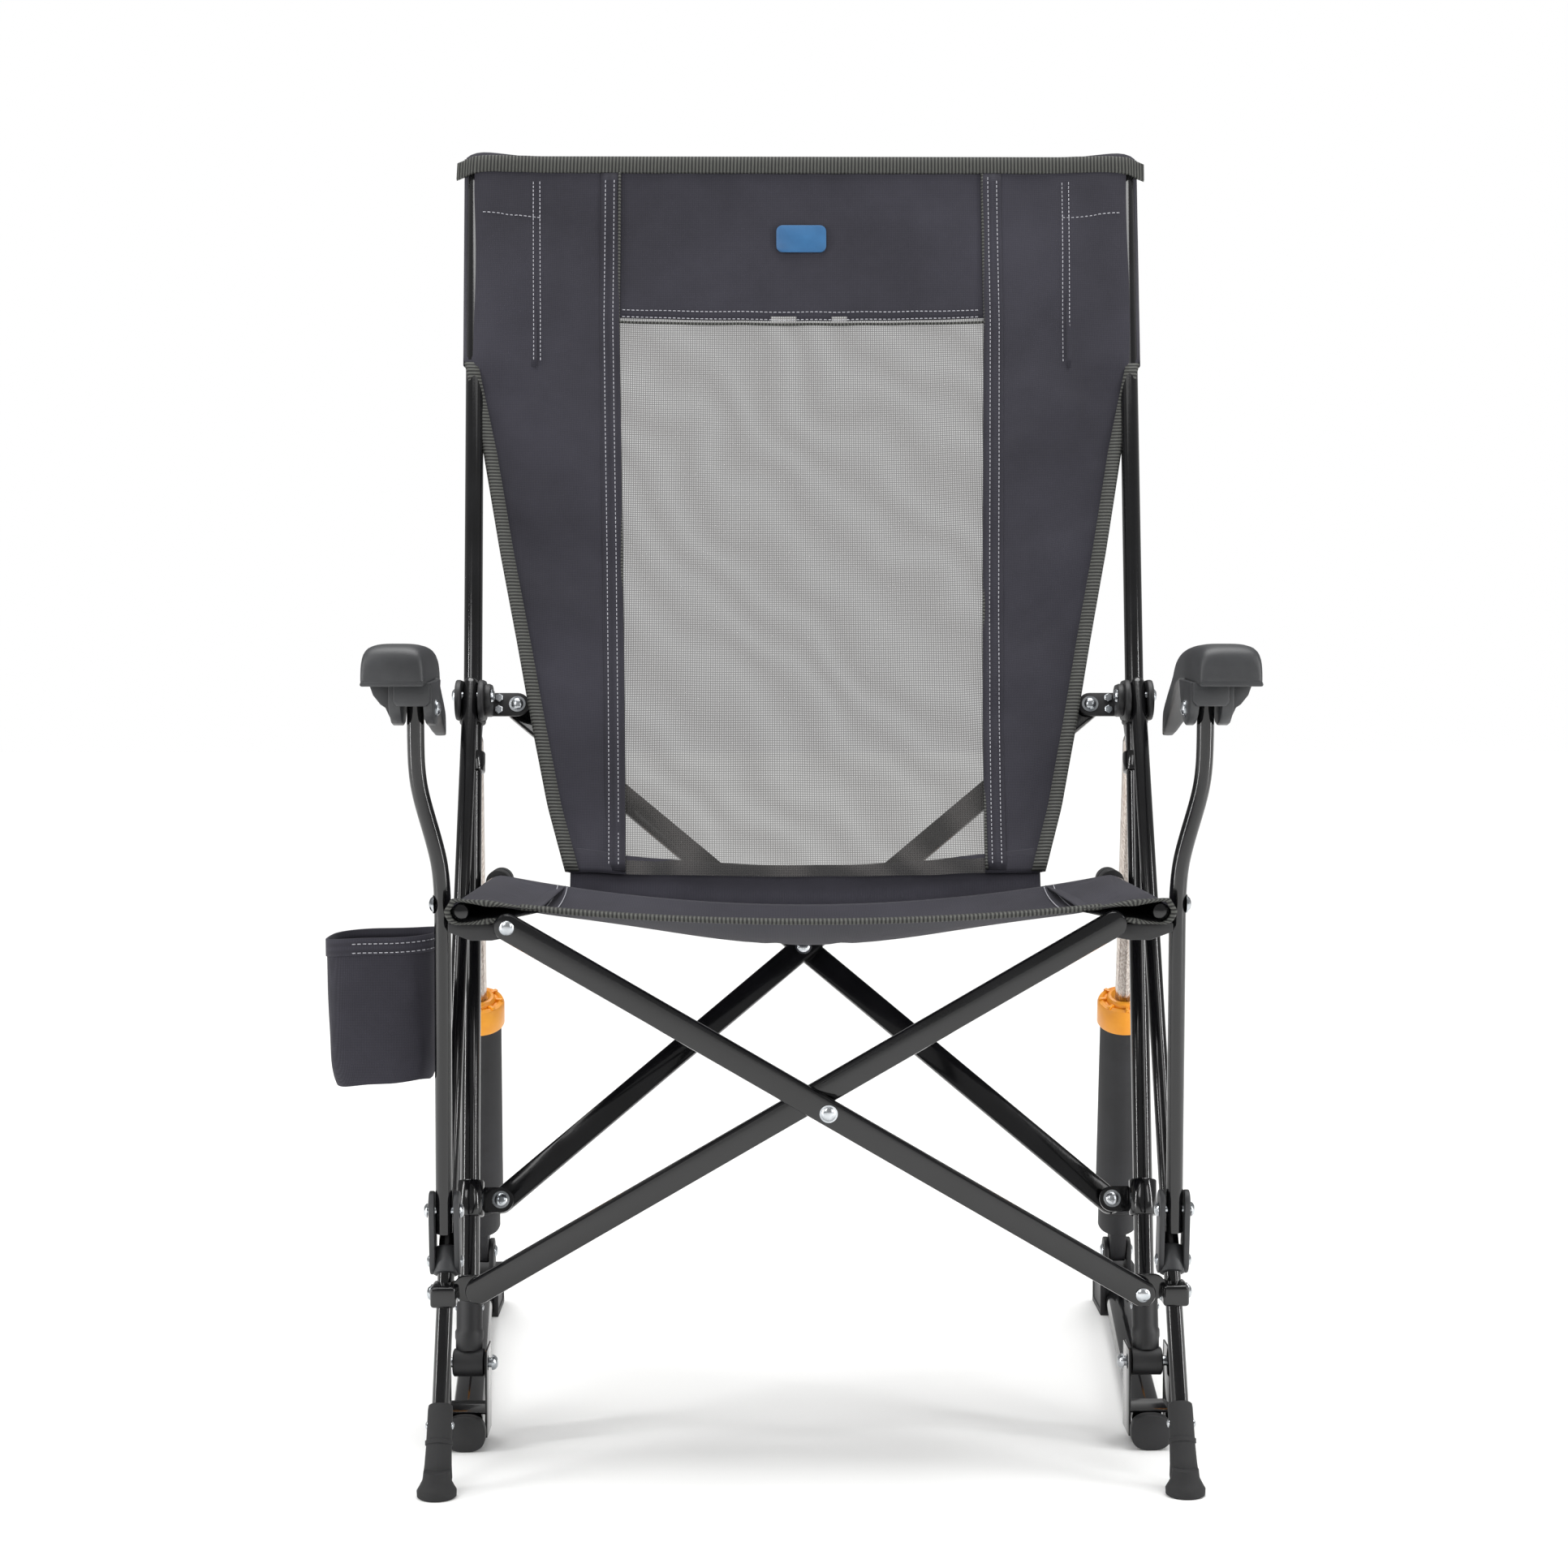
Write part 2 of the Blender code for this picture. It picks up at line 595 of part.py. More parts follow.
def make_armrest(side, mark):
    """Moulded arm: a crowned blade, a drooping nose, and a boxed holder over the post's top."""
    pivot = at(side, ARM_PIVOT_OUT, *ARM_PIVOT)
    rows = [(-0.0115, 0.2930, 0.3330, 0.6180, 0.6300), (-0.0100, 0.2900, 0.3365, 0.6150, 0.6385),
            (-0.0020, 0.2885, 0.3380, 0.6145, 0.6455), (0.0150, 0.2880, 0.3385, 0.6150, 0.6475),
            (0.0600, 0.2885, 0.3385, 0.6185, 0.6470), (0.1200, 0.2930, 0.3385, 0.6190, 0.6440),
            (0.1800, 0.2985, 0.3370, 0.6130, 0.6380), (0.2300, 0.3050, 0.3325, 0.6020, 0.6280),
            (0.2700, 0.3076, 0.3260, 0.5880, 0.6150), (0.3000, 0.3080, 0.3190, 0.5700, 0.5990),
            (0.3140, 0.3080, 0.3165, 0.5660, 0.5880)]

    def blade(bm):
        loops = []
        for row in rows:
            loops.append([bm.verts.new(point) for point in arm_section(side, *row)])
        skin(bm, loops, closed=False)

    made = solid("armrest" + mark, "grey_plastic", pivot, blade)

    def holder(bm):
        outline = [(0.0060, 0.6200), (0.0040, 0.5900), (0.0100, 0.5800), (0.0280, 0.5740),
                   (0.0430, 0.5820), (0.0620, 0.6220)]
        for low, high in ((0.2850, 0.2920), (0.3090, 0.3180)):
            points = [at(side, (low + high) / 2, depth, height) for depth, height in outline]
            add_plate(bm, points, high - low)

    def front_web(bm):
        add_box(bm, at(side, ARM_PIVOT_OUT, 0.0058, 0.5900) + Vector((-0.0140, 0, 0)),
                at(side, ARM_PIVOT_OUT, 0.0120, 0.6220) + Vector((0.0140, 0, 0)))

    combine(made, solid("holder_guide" + mark, "grey_plastic", pivot, holder), "UNION")
    combine(made, solid("web_guide" + mark, "grey_plastic", pivot, front_web), "UNION")
    drill(made, pivot, across(1), BOLT_RADIUS + 0.0003)
    return pivot


def rail_ends(side):
    return at(side, 0.2680, 0.030, 0.4425), at(side, 0.2600, 0.300, 0.4455)


def make_rail(side, mark):
    pivot = at(side, 0.2680, *RAIL_PIVOT)
    front, rear = rail_ends(side)
    solid("seat_rail" + mark, "enamel", pivot, add_tube, [front, rear], RAIL_RADIUS)

    direction = (rear - front).normalized()
    solid("rear_clip" + mark, "plastic", pivot, add_collar, rear - direction * 0.0160, direction, 0.030,
          RAIL_RADIUS + 0.0040, RAIL_RADIUS + 0.0003)
    return pivot


def make_front_clip(side, mark, pin):
    """Bracket on the arm post's inner side, below the rail's front end and behind the bars' top ends."""
    outline = [(0.2772, 0.4335), (0.2772, 0.4270), (0.2600, 0.4205), (0.2440, 0.4205),
               (0.2250, 0.4240), (0.2215, 0.4300), (0.2240, 0.4335)]
    solid("front_clip" + mark, "plastic", pin, add_plate,
          [at(side, out, 0.0375, height) for out, height in outline], 0.0110)


def make_bar(name, start, end, normal):
    """Flat-sided cross bar with rounded edges and a pin hole at both ends and the middle."""
    def strap(bm):
        add_plate(bm, stadium(start, end, BAR_WIDTH / 2, normal, steps=8), BAR_THICK)

    made = solid(name, "enamel", start, strap)
    for centre in (start, (start + end) / 2, end):
        drill(made, centre, normal, BOLT_RADIUS + 0.0003, length=0.03)
    soften = made.modifiers.new("edges", "BEVEL")
    soften.width = 0.0014
    soften.segments = 1
    soften.limit_method = "ANGLE"
    soften.angle_limit = math.radians(60)
    return made


def add_rivet(bm, centre, direction, reach, head=0.0058):
    """A pin through one joint, with a domed head at both ends."""
    half = reach / 2 + 0.0002
    profile = [(-half - 0.0028, head * 0.35), (-half - 0.0022, head * 0.8), (-half, head), (-half, BOLT_RADIUS),
               (half, BOLT_RADIUS), (half, head), (half + 0.0022, head * 0.8), (half + 0.0028, head * 0.35)]
    add_turned(bm, centre, direction, profile, sides=10)


def make_cross_bars():
    front_normal = front_bar_normal()
    back = Vector((0, pole_back(1).y, pole_back(1).z)).normalized()
    for side, mark, layer in ((1, "_a", -0.5), (-1, "_b", 0.5)):
        low, high = front_bar_ends(side, layer)
        make_bar("front_cross_bar" + mark, low, high, front_normal)
        low = rear_bar_point(-side, REAR_BAR_LOW, REAR_BAR_OUT[0], layer)
        high = rear_bar_point(side, REAR_BAR_HIGH, REAR_BAR_OUT[1], layer)
        make_bar("rear_cross_bar" + mark, low, high, back)


def sheet_solid(bm, columns, thickness):
    """A thin curved sheet from a grid of points, thickened along the average facing."""
    grid = [[bm.verts.new(point) for point in column] for column in columns]
    faces = []
    for left, right in zip(grid, grid[1:]):
        for step in range(len(left) - 1):
            faces.append(bm.faces.new((left[step], right[step], right[step + 1], left[step + 1])))
    bmesh.ops.recalc_face_normals(bm, faces=faces)
    bmesh.ops.solidify(bm, geom=faces, thickness=thickness)


def make_seat(pivot):
    """Plain sling between the rails, sagging in the middle."""
    def sling(bm):
        columns = []
        for across_step in range(9):
            across_share = -1 + across_step / 4
            column = []
            for step in range(5):
                share = step / 4
                depth = 0.034 + 0.222 * share
                half = SEAT_HALF - 0.040 * share
                sag = (0.016 + 0.020 * share) * (1 - across_share ** 2)
                column.append(at(1, across_share * half, depth, 0.4500 - sag))
            columns.append(column)
        sheet_solid(bm, columns, SLING_THICK)

    solid("seat_sling", "fabric", pivot, sling)


def make_back(pivot):
    """Plain back sling between the poles, narrowing to the seat below the arms."""
    heights = [0.440, 0.520, 0.620, 0.720, 0.820, 0.930, 1.020, 1.070]

    def sling(bm):
        columns = []
        for across_step in range(9):
            across_share = -1 + across_step / 4
            column = []
            for height in heights:
                rise = min(1.0, max(0.0, (height - 0.440) / 0.46))
                half = 0.2120 + (BACK_HALF - 0.2120) * rise
                depth = on_line(ROCK_PIVOT, POLE_TOP, height) - 0.006 * (1 - rise)
                sag = 0.022 * (1 - across_share ** 2) * (1 - 0.4 * rise)
                column.append(at(1, across_share * half, depth + sag * 0.6 - 0.010, height))
            columns.append(column)
        sheet_solid(bm, columns, SLING_THICK)

    solid("back_sling", "fabric", pivot, sling)


def make_pocket(pivot):
    """Open-topped cup pocket outside the left arm post: four walls and a floor."""
    inner, outer, front, rear, low, high = 0.2985, 0.3790, 0.0640, 0.1420, 0.3050, 0.4220
    wall = 0.0025

    def loop(bm, height, inset, shrink):
        x0, x1 = inner + inset, outer - inset
        y0, y1 = front + inset, rear - inset
        curve = 0.012
        points = []
        for cx, cy, start in ((x1 - curve, y1 - curve, 0), (x0 + curve, y1 - curve, 90),
                              (x0 + curve, y0 + curve, 180), (x1 - curve, y0 + curve, 270)):
            for turn in (0, 45, 90):
                angle = math.radians(start + turn)
                points.append((cx + curve * math.cos(angle), cy + curve * math.sin(angle)))
        middle_x, middle_y = (x0 + x1) / 2, (y0 + y1) / 2
        return [bm.verts.new(at(-1, middle_x + (x - middle_x) * shrink, middle_y + (y - middle_y) * shrink,
                                height)) for x, y in points]

    def bag(bm):
        loops = [loop(bm, low, 0, 0.70), loop(bm, low + 0.010, 0, 0.90), loop(bm, low + 0.030, 0, 0.96),
                 loop(bm, high, 0, 1.0), loop(bm, high, wall, 1.0), loop(bm, low + 0.031, wall, 0.96),
                 loop(bm, low + 0.012, wall, 0.90), loop(bm, low + wall, wall, 0.70)]
        skin(bm, loops, closed=False)

    solid("cup_pocket", "fabric", pivot, bag)


def make_bolts(side, mark, leg_pivot, slider_pin):
    """The three pivot bolts of one side."""
    low, _ = strut_points(side)
    solid("leg_bolt" + mark, "zinc", leg_pivot, add_rivet, leg_pivot - across(side) * 0.0028, across(side),
          0.0306)
    solid("slider_bolt" + mark, "zinc", slider_pin, add_rivet, slider_pin, across(side), 0.0256)
    solid("strut_bolt" + mark, "zinc", low, add_rivet, low, across(side), 0.0270)


def build():
    clear_scene()
    pins = {}
    for side, mark in ((-1, "_l"), (1, "_r")):
        root = at(side, pole_out(ROCK_PIVOT[1]), *ROCK_PIVOT)
        make_runner(side, mark, root)
        make_runner_bracket(side, mark, root)
        make_rock_pin(side, mark, root)
        make_rear_foot(side, mark, root)
        make_strut(side, mark)
        make_back_pole(side, mark, root)
        make_rear_bar_bracket(side, mark, root)
        make_strut_lug(side, mark, root)
        leg_pivot = make_pole_bracket(side, mark)
        make_leg(side, mark, leg_pivot)
        make_knuckle(side, mark, knuckle_point(side))
        slider_pin = make_slider(side, mark)
        make_post(side, mark, slider_pin)
        make_armrest(side, mark)
        rail_pivot = make_rail(side, mark)
        make_front_clip(side, mark, slider_pin)
        make_bolts(side, mark, leg_pivot, slider_pin)
        pins[side] = (leg_pivot, slider_pin, rail_pivot)
    make_cross_bars()
    make_seat(pins[-1][2])
    make_back(pins[-1][0])
    make_pocket(pins[-1][1])


build()
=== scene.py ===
# Folding high-back camp rocker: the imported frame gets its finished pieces, cloth and materials.
# Metres, +Z up, the chair faces -Y. depth is measured back from the front feet.
import json
import math

import bmesh
import bpy
from mathutils import Matrix, Vector


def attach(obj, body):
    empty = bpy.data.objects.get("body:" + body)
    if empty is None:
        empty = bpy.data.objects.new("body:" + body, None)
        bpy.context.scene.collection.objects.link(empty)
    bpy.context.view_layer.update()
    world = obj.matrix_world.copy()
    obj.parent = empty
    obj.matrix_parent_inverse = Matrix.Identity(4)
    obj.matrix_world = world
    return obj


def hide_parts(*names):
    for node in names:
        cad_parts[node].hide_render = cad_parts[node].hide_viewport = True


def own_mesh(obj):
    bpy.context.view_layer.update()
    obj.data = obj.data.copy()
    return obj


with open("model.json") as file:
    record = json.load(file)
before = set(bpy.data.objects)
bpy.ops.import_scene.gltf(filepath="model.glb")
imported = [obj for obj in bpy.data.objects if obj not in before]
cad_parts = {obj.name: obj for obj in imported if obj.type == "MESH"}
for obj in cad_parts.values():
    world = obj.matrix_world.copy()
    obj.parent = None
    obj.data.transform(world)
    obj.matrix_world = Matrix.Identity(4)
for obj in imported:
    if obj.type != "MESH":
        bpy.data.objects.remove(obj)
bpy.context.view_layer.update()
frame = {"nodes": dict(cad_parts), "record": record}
print("frame loaded:", len(frame["nodes"]), "nodes")

centreX, centreDepth = 0.02025, 0.3094
rockPivot, poleTop = (0.148, 0.065), (0.513, 1.092)
legTop = (0.3161, 0.603)
sides = ((-1, "_l"), (1, "_r"))


def spot(side, out, depth, height):
    return Vector((centreX + side * out, depth - centreDepth, height))


def poleOut(height):
    return 0.2748 + 0.0250 * (height - rockPivot[1])


def legOut(height):
    return 0.2846 + 0.0062 * height


def lineDepth(low, high, height):
    return low[0] + (high[0] - low[0]) * (height - low[1]) / (high[1] - low[1])


def polePoint(side, height):
    return spot(side, poleOut(height), lineDepth(rockPivot, poleTop, height), height)


def legPoint(side, height):
    return spot(side, legOut(height), lineDepth((0.0, 0.0), legTop, height), height)


def poleAlong(side):
    return (polePoint(side, 1.0) - polePoint(side, 0.1)).normalized()


def legAlong(side):
    return (legPoint(side, 0.6) - legPoint(side, 0.0)).normalized()


poleForward = Vector((0, -poleAlong(1).z, poleAlong(1).y)).normalized()   # square to the pole, to its front


def linear(hexColour):
    parts = [int(hexColour[i:i + 2], 16) / 255 for i in (1, 3, 5)]
    return [c / 12.92 if c <= 0.04045 else ((c + 0.055) / 1.055) ** 2.4 for c in parts] + [1.0]


def addNode(tree, kind, settings=None, links=None):
    node = tree.nodes.new(kind)
    for name, value in (settings or {}).items():
        if isinstance(name, str) and name not in node.inputs:
            setattr(node, name, value)
        else:
            node.inputs[name].default_value = value
    for name, source in (links or {}).items():
        tree.links.new(source, node.inputs[name])
    return node


def newMaterial(name, **settings):
    made = bpy.data.materials.new(name)
    made.use_nodes = True
    shader = made.node_tree.nodes["Principled BSDF"]
    for socket, value in settings.items():
        shader.inputs[socket.replace("_", " ")].default_value = value
    return made, made.node_tree, shader


def objectNoise(tree, scale, detail=2.0, roughness=0.5):
    place = addNode(tree, "ShaderNodeTexCoord")
    return addNode(tree, "ShaderNodeTexNoise", {"Scale": scale, "Detail": detail, "Roughness": roughness},
                   {"Vector": place.outputs["Object"]}).outputs["Fac"]


def sewnBands(tree, direction, scale, distortion=0.0, detail=2.0):
    # bands along the cloth's own UV, which is in metres: one band every 0.314 / scale
    place = addNode(tree, "ShaderNodeTexCoord")
    return addNode(tree, "ShaderNodeTexWave", {"bands_direction": direction, "Scale": scale,
                                               "Distortion": distortion, "Detail": detail},
                   {"Vector": place.outputs["UV"]}).outputs["Fac"]


def joinedBy(tree, operation, first, second):
    node = addNode(tree, "ShaderNodeMath", {"operation": operation})
    tree.links.new(first, node.inputs[0])
    tree.links.new(second, node.inputs[1])
    return node.outputs[0]


def tinted(tree, shader, factor, low, high, start=0.35, end=0.65):
    ramp = addNode(tree, "ShaderNodeValToRGB", links={"Fac": factor})
    dark, light = ramp.color_ramp.elements
    dark.position, light.position = start, end
    dark.color, light.color = linear(low), linear(high)
    tree.links.new(ramp.outputs["Color"], shader.inputs["Base Color"])


def roughened(tree, shader, factor, low, high):
    band = addNode(tree, "ShaderNodeMapRange", {"To Min": low, "To Max": high}, {"Value": factor})
    tree.links.new(band.outputs[0], shader.inputs["Roughness"])


def raised(tree, shader, factor, strength, depth):
    bump = addNode(tree, "ShaderNodeBump", {"Strength": strength, "Distance": depth}, {"Height": factor})
    tree.links.new(bump.outputs["Normal"], shader.inputs["Normal"])


def powderCoat():
    # gloss black powder coat, sprayed and baked on steel: deep black, faint orange peel, sharp streaks
    made, tree, shader = newMaterial("glossBlackPowderCoat", Specular_IOR_Level=0.4, Coat_Weight=0.3,
                                     Coat_Roughness=0.05)
    wear = objectNoise(tree, 26.0, 4.0)
    tinted(tree, shader, wear, "#050506", "#0b0b0d")
    roughened(tree, shader, wear, 0.10, 0.20)
    raised(tree, shader, objectNoise(tree, 420.0), 0.06, 0.0006)
    return made


def grainedPlastic(name, dark, light, roughLow, roughHigh, grainScale, strength):
    # glass-filled nylon, moulded in a spark-eroded tool: matt with a fine even grain, paler where rubbed
    made, tree, shader = newMaterial(name, IOR=1.5)
    rub = objectNoise(tree, 18.0, 5.0, 0.6)
    tinted(tree, shader, rub, dark, light)
    roughened(tree, shader, rub, roughLow, roughHigh)
    raised(tree, shader, objectNoise(tree, grainScale, 3.0), strength, 0.0004)
    return made


def platedSteel(name, dark, light, roughLow, roughHigh, streak):
    # bright plate over drawn steel: mirror-like; its base colour carries tinted noise, and where stretch is
    # given by streak (the strut rod) that noise paints reflection streaks into the plate
    made, tree, shader = newMaterial(name, Metallic=1.0)
    place = addNode(tree, "ShaderNodeTexCoord")
    turn = addNode(tree, "ShaderNodeMapping", {"Scale": streak}, {"Vector": place.outputs["Object"]})
    marks = addNode(tree, "ShaderNodeTexNoise", {"Scale": 60.0, "Detail": 5.0},
                    {"Vector": turn.outputs["Vector"]}).outputs["Fac"]
    tinted(tree, shader, marks, dark, light, 0.3, 0.7)
    roughened(tree, shader, marks, roughLow, roughHigh)
    return made


def wovenCloth():
    # coated polyester plain weave: soft dark slate with a faint violet cast, threads about 0.6 mm apart
    # (drawn at 1.3 mm so that the weave shows)
    made, tree, shader = newMaterial("slatePolyesterWeave", Sheen_Weight=0.05, Sheen_Roughness=0.5,
                                     Specular_IOR_Level=0.15)
    threads = joinedBy(tree, "MULTIPLY", sewnBands(tree, "X", 240.0, 0.4), sewnBands(tree, "Y", 240.0, 0.4))
    cloud = objectNoise(tree, 7.0, 6.0, 0.62)
    mixed = addNode(tree, "ShaderNodeMath", {"operation": "MULTIPLY_ADD", 1: 0.35}, {0: threads, 2: cloud})
    tinted(tree, shader, mixed.outputs[0], "#25242a", "#3a3941", 0.30, 0.95)
    roughened(tree, shader, cloud, 0.72, 0.92)
    raised(tree, shader, threads, 0.22, 0.0004)
    return made


def bindingTape():
    # woven polypropylene binding tape: near-black, ribbed across its width every 1.6 mm (drawn at 3.2 mm)
    made, tree, shader = newMaterial("ribbedBindingTape", Specular_IOR_Level=0.4)
    ribs = sewnBands(tree, "Y", 98.0, 0.8)
    tinted(tree, shader, ribs, "#191918", "#4b4c48", 0.15, 0.85)
    roughened(tree, shader, ribs, 0.75, 0.6)
    raised(tree, shader, ribs, 0.7, 0.0006)
    return made


def openMesh():
    # knitted polyester mesh: dark threads round open holes about 1.5 mm apart (drawn at 2 mm)
    made, tree, shader = newMaterial("openKnitMesh", Roughness=0.8, Specular_IOR_Level=0.3)
    most = joinedBy(tree, "MAXIMUM", sewnBands(tree, "X", 157.0), sewnBands(tree, "Y", 157.0))
    cover = addNode(tree, "ShaderNodeMapRange",
                    {"From Min": 0.62, "From Max": 0.86, "To Min": 0.47, "To Max": 0.80}, {"Value": most})
    wide = sewnBands(tree, "DIAGONAL", 9.0, 7.0, 1.0)                # two layers of threads beating
    dense = addNode(tree, "ShaderNodeMath", {"operation": "MULTIPLY_ADD", 1: 0.07},
                    {0: wide, 2: cover.outputs[0]})
    tinted(tree, shader, wide, "#3a3938", "#4a4847", 0.1, 0.9)
    tree.links.new(dense.outputs[0], shader.inputs["Alpha"])
    return made


def sewingThread():
    # polyester sewing thread, pale grey with a slight twist
    made, tree, shader = newMaterial("paleSewingThread", Roughness=0.6)
    tinted(tree, shader, objectNoise(tree, 900.0), "#85858c", "#aeaeb4")
    return made


powder = powderCoat()
blackNylon = grainedPlastic("blackMouldedNylon", "#101011", "#1c1c1e", 0.42, 0.62, 900.0, 0.22)
armNylon = grainedPlastic("greyMouldedNylon", "#242527", "#313234", 0.40, 0.56, 1100.0, 0.16)
footRubber = grainedPlastic("blackFootRubber", "#161617", "#232324", 0.70, 0.90, 600.0, 0.3)
amberNylon = grainedPlastic("amberMouldedNylon", "#e08a12", "#f5a526", 0.30, 0.42, 500.0, 0.1)
sleeveNylon = grainedPlastic("mattSleeveNylon", "#1a1a1c", "#29292c", 0.55, 0.75, 1300.0, 0.25)
patchVinyl = grainedPlastic("bluePatchVinyl", "#25517a", "#2f6390", 0.35, 0.45, 400.0, 0.1)
zinc = platedSteel("brightZincPlate", "#8f9499", "#d5d8db", 0.16, 0.34, (1.0, 1.0, 1.0))
# the rod's brown-grey streaks, stretched along it, are painted reflections in the base colour
chrome = platedSteel("nickelPlate", "#8d8078", "#d9d1ca", 0.12, 0.28, (16.0, 16.0, 0.7))
spring = platedSteel("springSteel", "#6f7072", "#a0a1a3", 0.3, 0.45, (1.0, 1.0, 1.0))
cloth = wovenCloth()
tape = bindingTape()
meshCloth = openMesh()
thread = sewingThread()
print("materials made")

slotFinish = {"black_enamel": powder, "black_plastic": blackNylon, "grey_plastic": armNylon,
              "amber_plastic": amberNylon, "rubber": footRubber, "zinc": zinc, "chrome": chrome,
              "spring_steel": spring, "slate_fabric": cloth}
nodeSlot = {part["node"]: part["material_slot"] for part in frame["record"]["subparts"]}
for node, thing in frame["nodes"].items():
    for place in thing.material_slots:
        place.material = slotFinish[nodeSlot[node]]


def clearSelection():
    for thing in list(bpy.context.selected_objects):
        thing.select_set(False)
    bpy.context.view_layer.objects.active = None


def pick(piece):
    clearSelection()
    piece.select_set(True)
    bpy.context.view_layer.objects.active = piece


def shaped(name, shape, finish=None):
    mesh = bpy.data.meshes.new(name)
    shape.to_mesh(mesh)
    shape.free()
    if finish:
        mesh.materials.append(finish)
    piece = bpy.data.objects.new(name, mesh)
    bpy.context.collection.objects.link(piece)
    return piece


def settle(piece, name, finish, smooth=35):
    clearSelection()
    piece.name = piece.data.name = name
    piece.select_set(True)
    bpy.context.view_layer.objects.active = piece
    bpy.ops.object.transform_apply(location=True, rotation=True, scale=True)
    bpy.ops.object.mode_set(mode="EDIT")
    bpy.ops.mesh.select_all(action="SELECT")
    bpy.ops.mesh.remove_doubles(threshold=0.00002)
    bpy.ops.mesh.normals_make_consistent(inside=False)
    bpy.ops.object.mode_set(mode="OBJECT")
    if smooth:
        bpy.ops.object.shade_smooth_by_angle(angle=math.radians(smooth))
    piece.data.materials.clear()
    piece.data.materials.append(finish)
    return piece


def stand(piece, origin, towards):
    piece.matrix_world = Matrix.Translation(origin) @ towards.to_track_quat("Z", "Y").to_matrix().to_4x4()


def turned(name, origin, towards, profile, finish, segments=40):
    # profile is (distance along, radius), swept round the line
    clearSelection()
    bpy.ops.mesh.primitive_circle_add(vertices=segments, radius=profile[0][1], fill_type="NGON",
                                      location=(0, 0, profile[0][0]))
    piece = bpy.context.object
    bpy.ops.object.transform_apply(location=True)
    bpy.ops.object.mode_set(mode="EDIT")
    bpy.ops.mesh.select_all(action="SELECT")
    for (alongA, radiusA), (alongB, radiusB) in zip(profile, profile[1:]):
        bpy.ops.mesh.extrude_region_move(TRANSFORM_OT_translate={"value": (0, 0, alongB - alongA)})
        bpy.ops.transform.resize(value=(radiusB / radiusA, radiusB / radiusA, 1))
    bpy.ops.object.mode_set(mode="OBJECT")
    stand(piece, origin, towards)
    return settle(piece, name, finish)


def bentTube(name, points, radius, finish):
    # a tube swept by a bevelled curve that eases through its bends, with closed ends
    clearSelection()
    line = bpy.data.curves.new(name, "CURVE")
    line.dimensions = "3D"
    line.bevel_depth, line.bevel_resolution, line.use_fill_caps = radius, 7, True
    spline = line.splines.new("NURBS")
    spline.points.add(len(points) - 1)
    for target, point in zip(spline.points, points):
        target.co = (*point, 1.0)
    spline.order_u, spline.use_endpoint_u, spline.resolution_u = 4, True, 8
    piece = bpy.data.objects.new(name, line)
    bpy.context.collection.objects.link(piece)
    piece.select_set(True)
    bpy.context.view_layer.objects.active = piece
    bpy.ops.object.convert(target="MESH")
    return settle(bpy.context.object, name, finish, 40)


def edged(piece, width, segments=3, angle=40):
    pick(piece)
    rounding = piece.modifiers.new("edge", "BEVEL")
    rounding.width, rounding.segments, rounding.limit_method = width, segments, "ANGLE"
    rounding.angle_limit = math.radians(angle)
    bpy.ops.object.modifier_apply(modifier=rounding.name)
    bpy.ops.object.shade_smooth_by_angle(angle=math.radians(40))
    return piece


def plate(name, outline, thickness, finish, edge=0.0006):
    # a flat outline pushed through its thickness, with softened edges
    clearSelection()
    normal = (outline[1] - outline[0]).cross(outline[2] - outline[1]).normalized()
    sheet = bpy.data.meshes.new(name)
    sheet.from_pydata([point - normal * thickness / 2 for point in outline], [], [range(len(outline))])
    piece = bpy.data.objects.new(name, sheet)
    bpy.context.collection.objects.link(piece)
    piece.select_set(True)
    bpy.context.view_layer.objects.active = piece
    bpy.ops.object.mode_set(mode="EDIT")
    bpy.ops.mesh.select_all(action="SELECT")
    bpy.ops.mesh.extrude_region_move(TRANSFORM_OT_translate={"value": normal * thickness})
    bpy.ops.object.mode_set(mode="OBJECT")
    settle(piece, name, finish, 0)
    return edged(piece, edge, 2, 50)


def stadium(start, end, radius, normal, endRadius=None, steps=12):
    endRadius = endRadius or radius
    along = (end - start).normalized()
    across = normal.normalized().cross(along)
    outline = []
    for step in range(steps + 1):
        angle = math.pi / 2 + math.pi * step / steps
        outline.append(start + radius * (math.cos(angle) * along + math.sin(angle) * across))
    for step in range(steps + 1):
        angle = -math.pi / 2 + math.pi * step / steps
        outline.append(end + endRadius * (math.cos(angle) * along + math.sin(angle) * across))
    return outline


def bothEnds(rows):
    # a turned profile that is the same from either end
    return rows + [(-along, radius) for along, radius in reversed(rows)]


def softBlock(name, centre, size):
    clearSelection()
    bpy.ops.mesh.primitive_cube_add(size=1, location=centre)
    block = bpy.context.object
    block.name = name
    block.scale = size
    bpy.ops.object.transform_apply(location=True, rotation=True, scale=True)
    return block


def joined(name, pieces):
    clearSelection()
    for piece in pieces:
        piece.select_set(True)
    bpy.context.view_layer.objects.active = pieces[0]
    bpy.ops.object.join()
    pieces[0].name = pieces[0].data.name = name
    return pieces[0]


def mirrored(piece, name):
    # the other side's piece, with its own mesh
    pick(piece)
    bpy.ops.object.duplicate(linked=False)
    twin = bpy.context.object
    twin.name = twin.data.name = name
    flip = Matrix.Translation((2 * centreX, 0, 0)) @ Matrix.Scale(-1, 4, (1, 0, 0))
    twin.data.transform(flip)
    twin.data.flip_normals()
    return twin


def bothSides(piece, name, body, nodes=()):
    # places the right-hand piece and its mirror image on their bodies
    twin = mirrored(piece, name + "_l")
    piece.name = piece.data.name = name + "_r"
    for thing, mark in ((piece, "_r"), (twin, "_l")):
        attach(thing, body + mark)
        if nodes:
            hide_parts(*[node + mark for node in nodes])
    return piece, twin


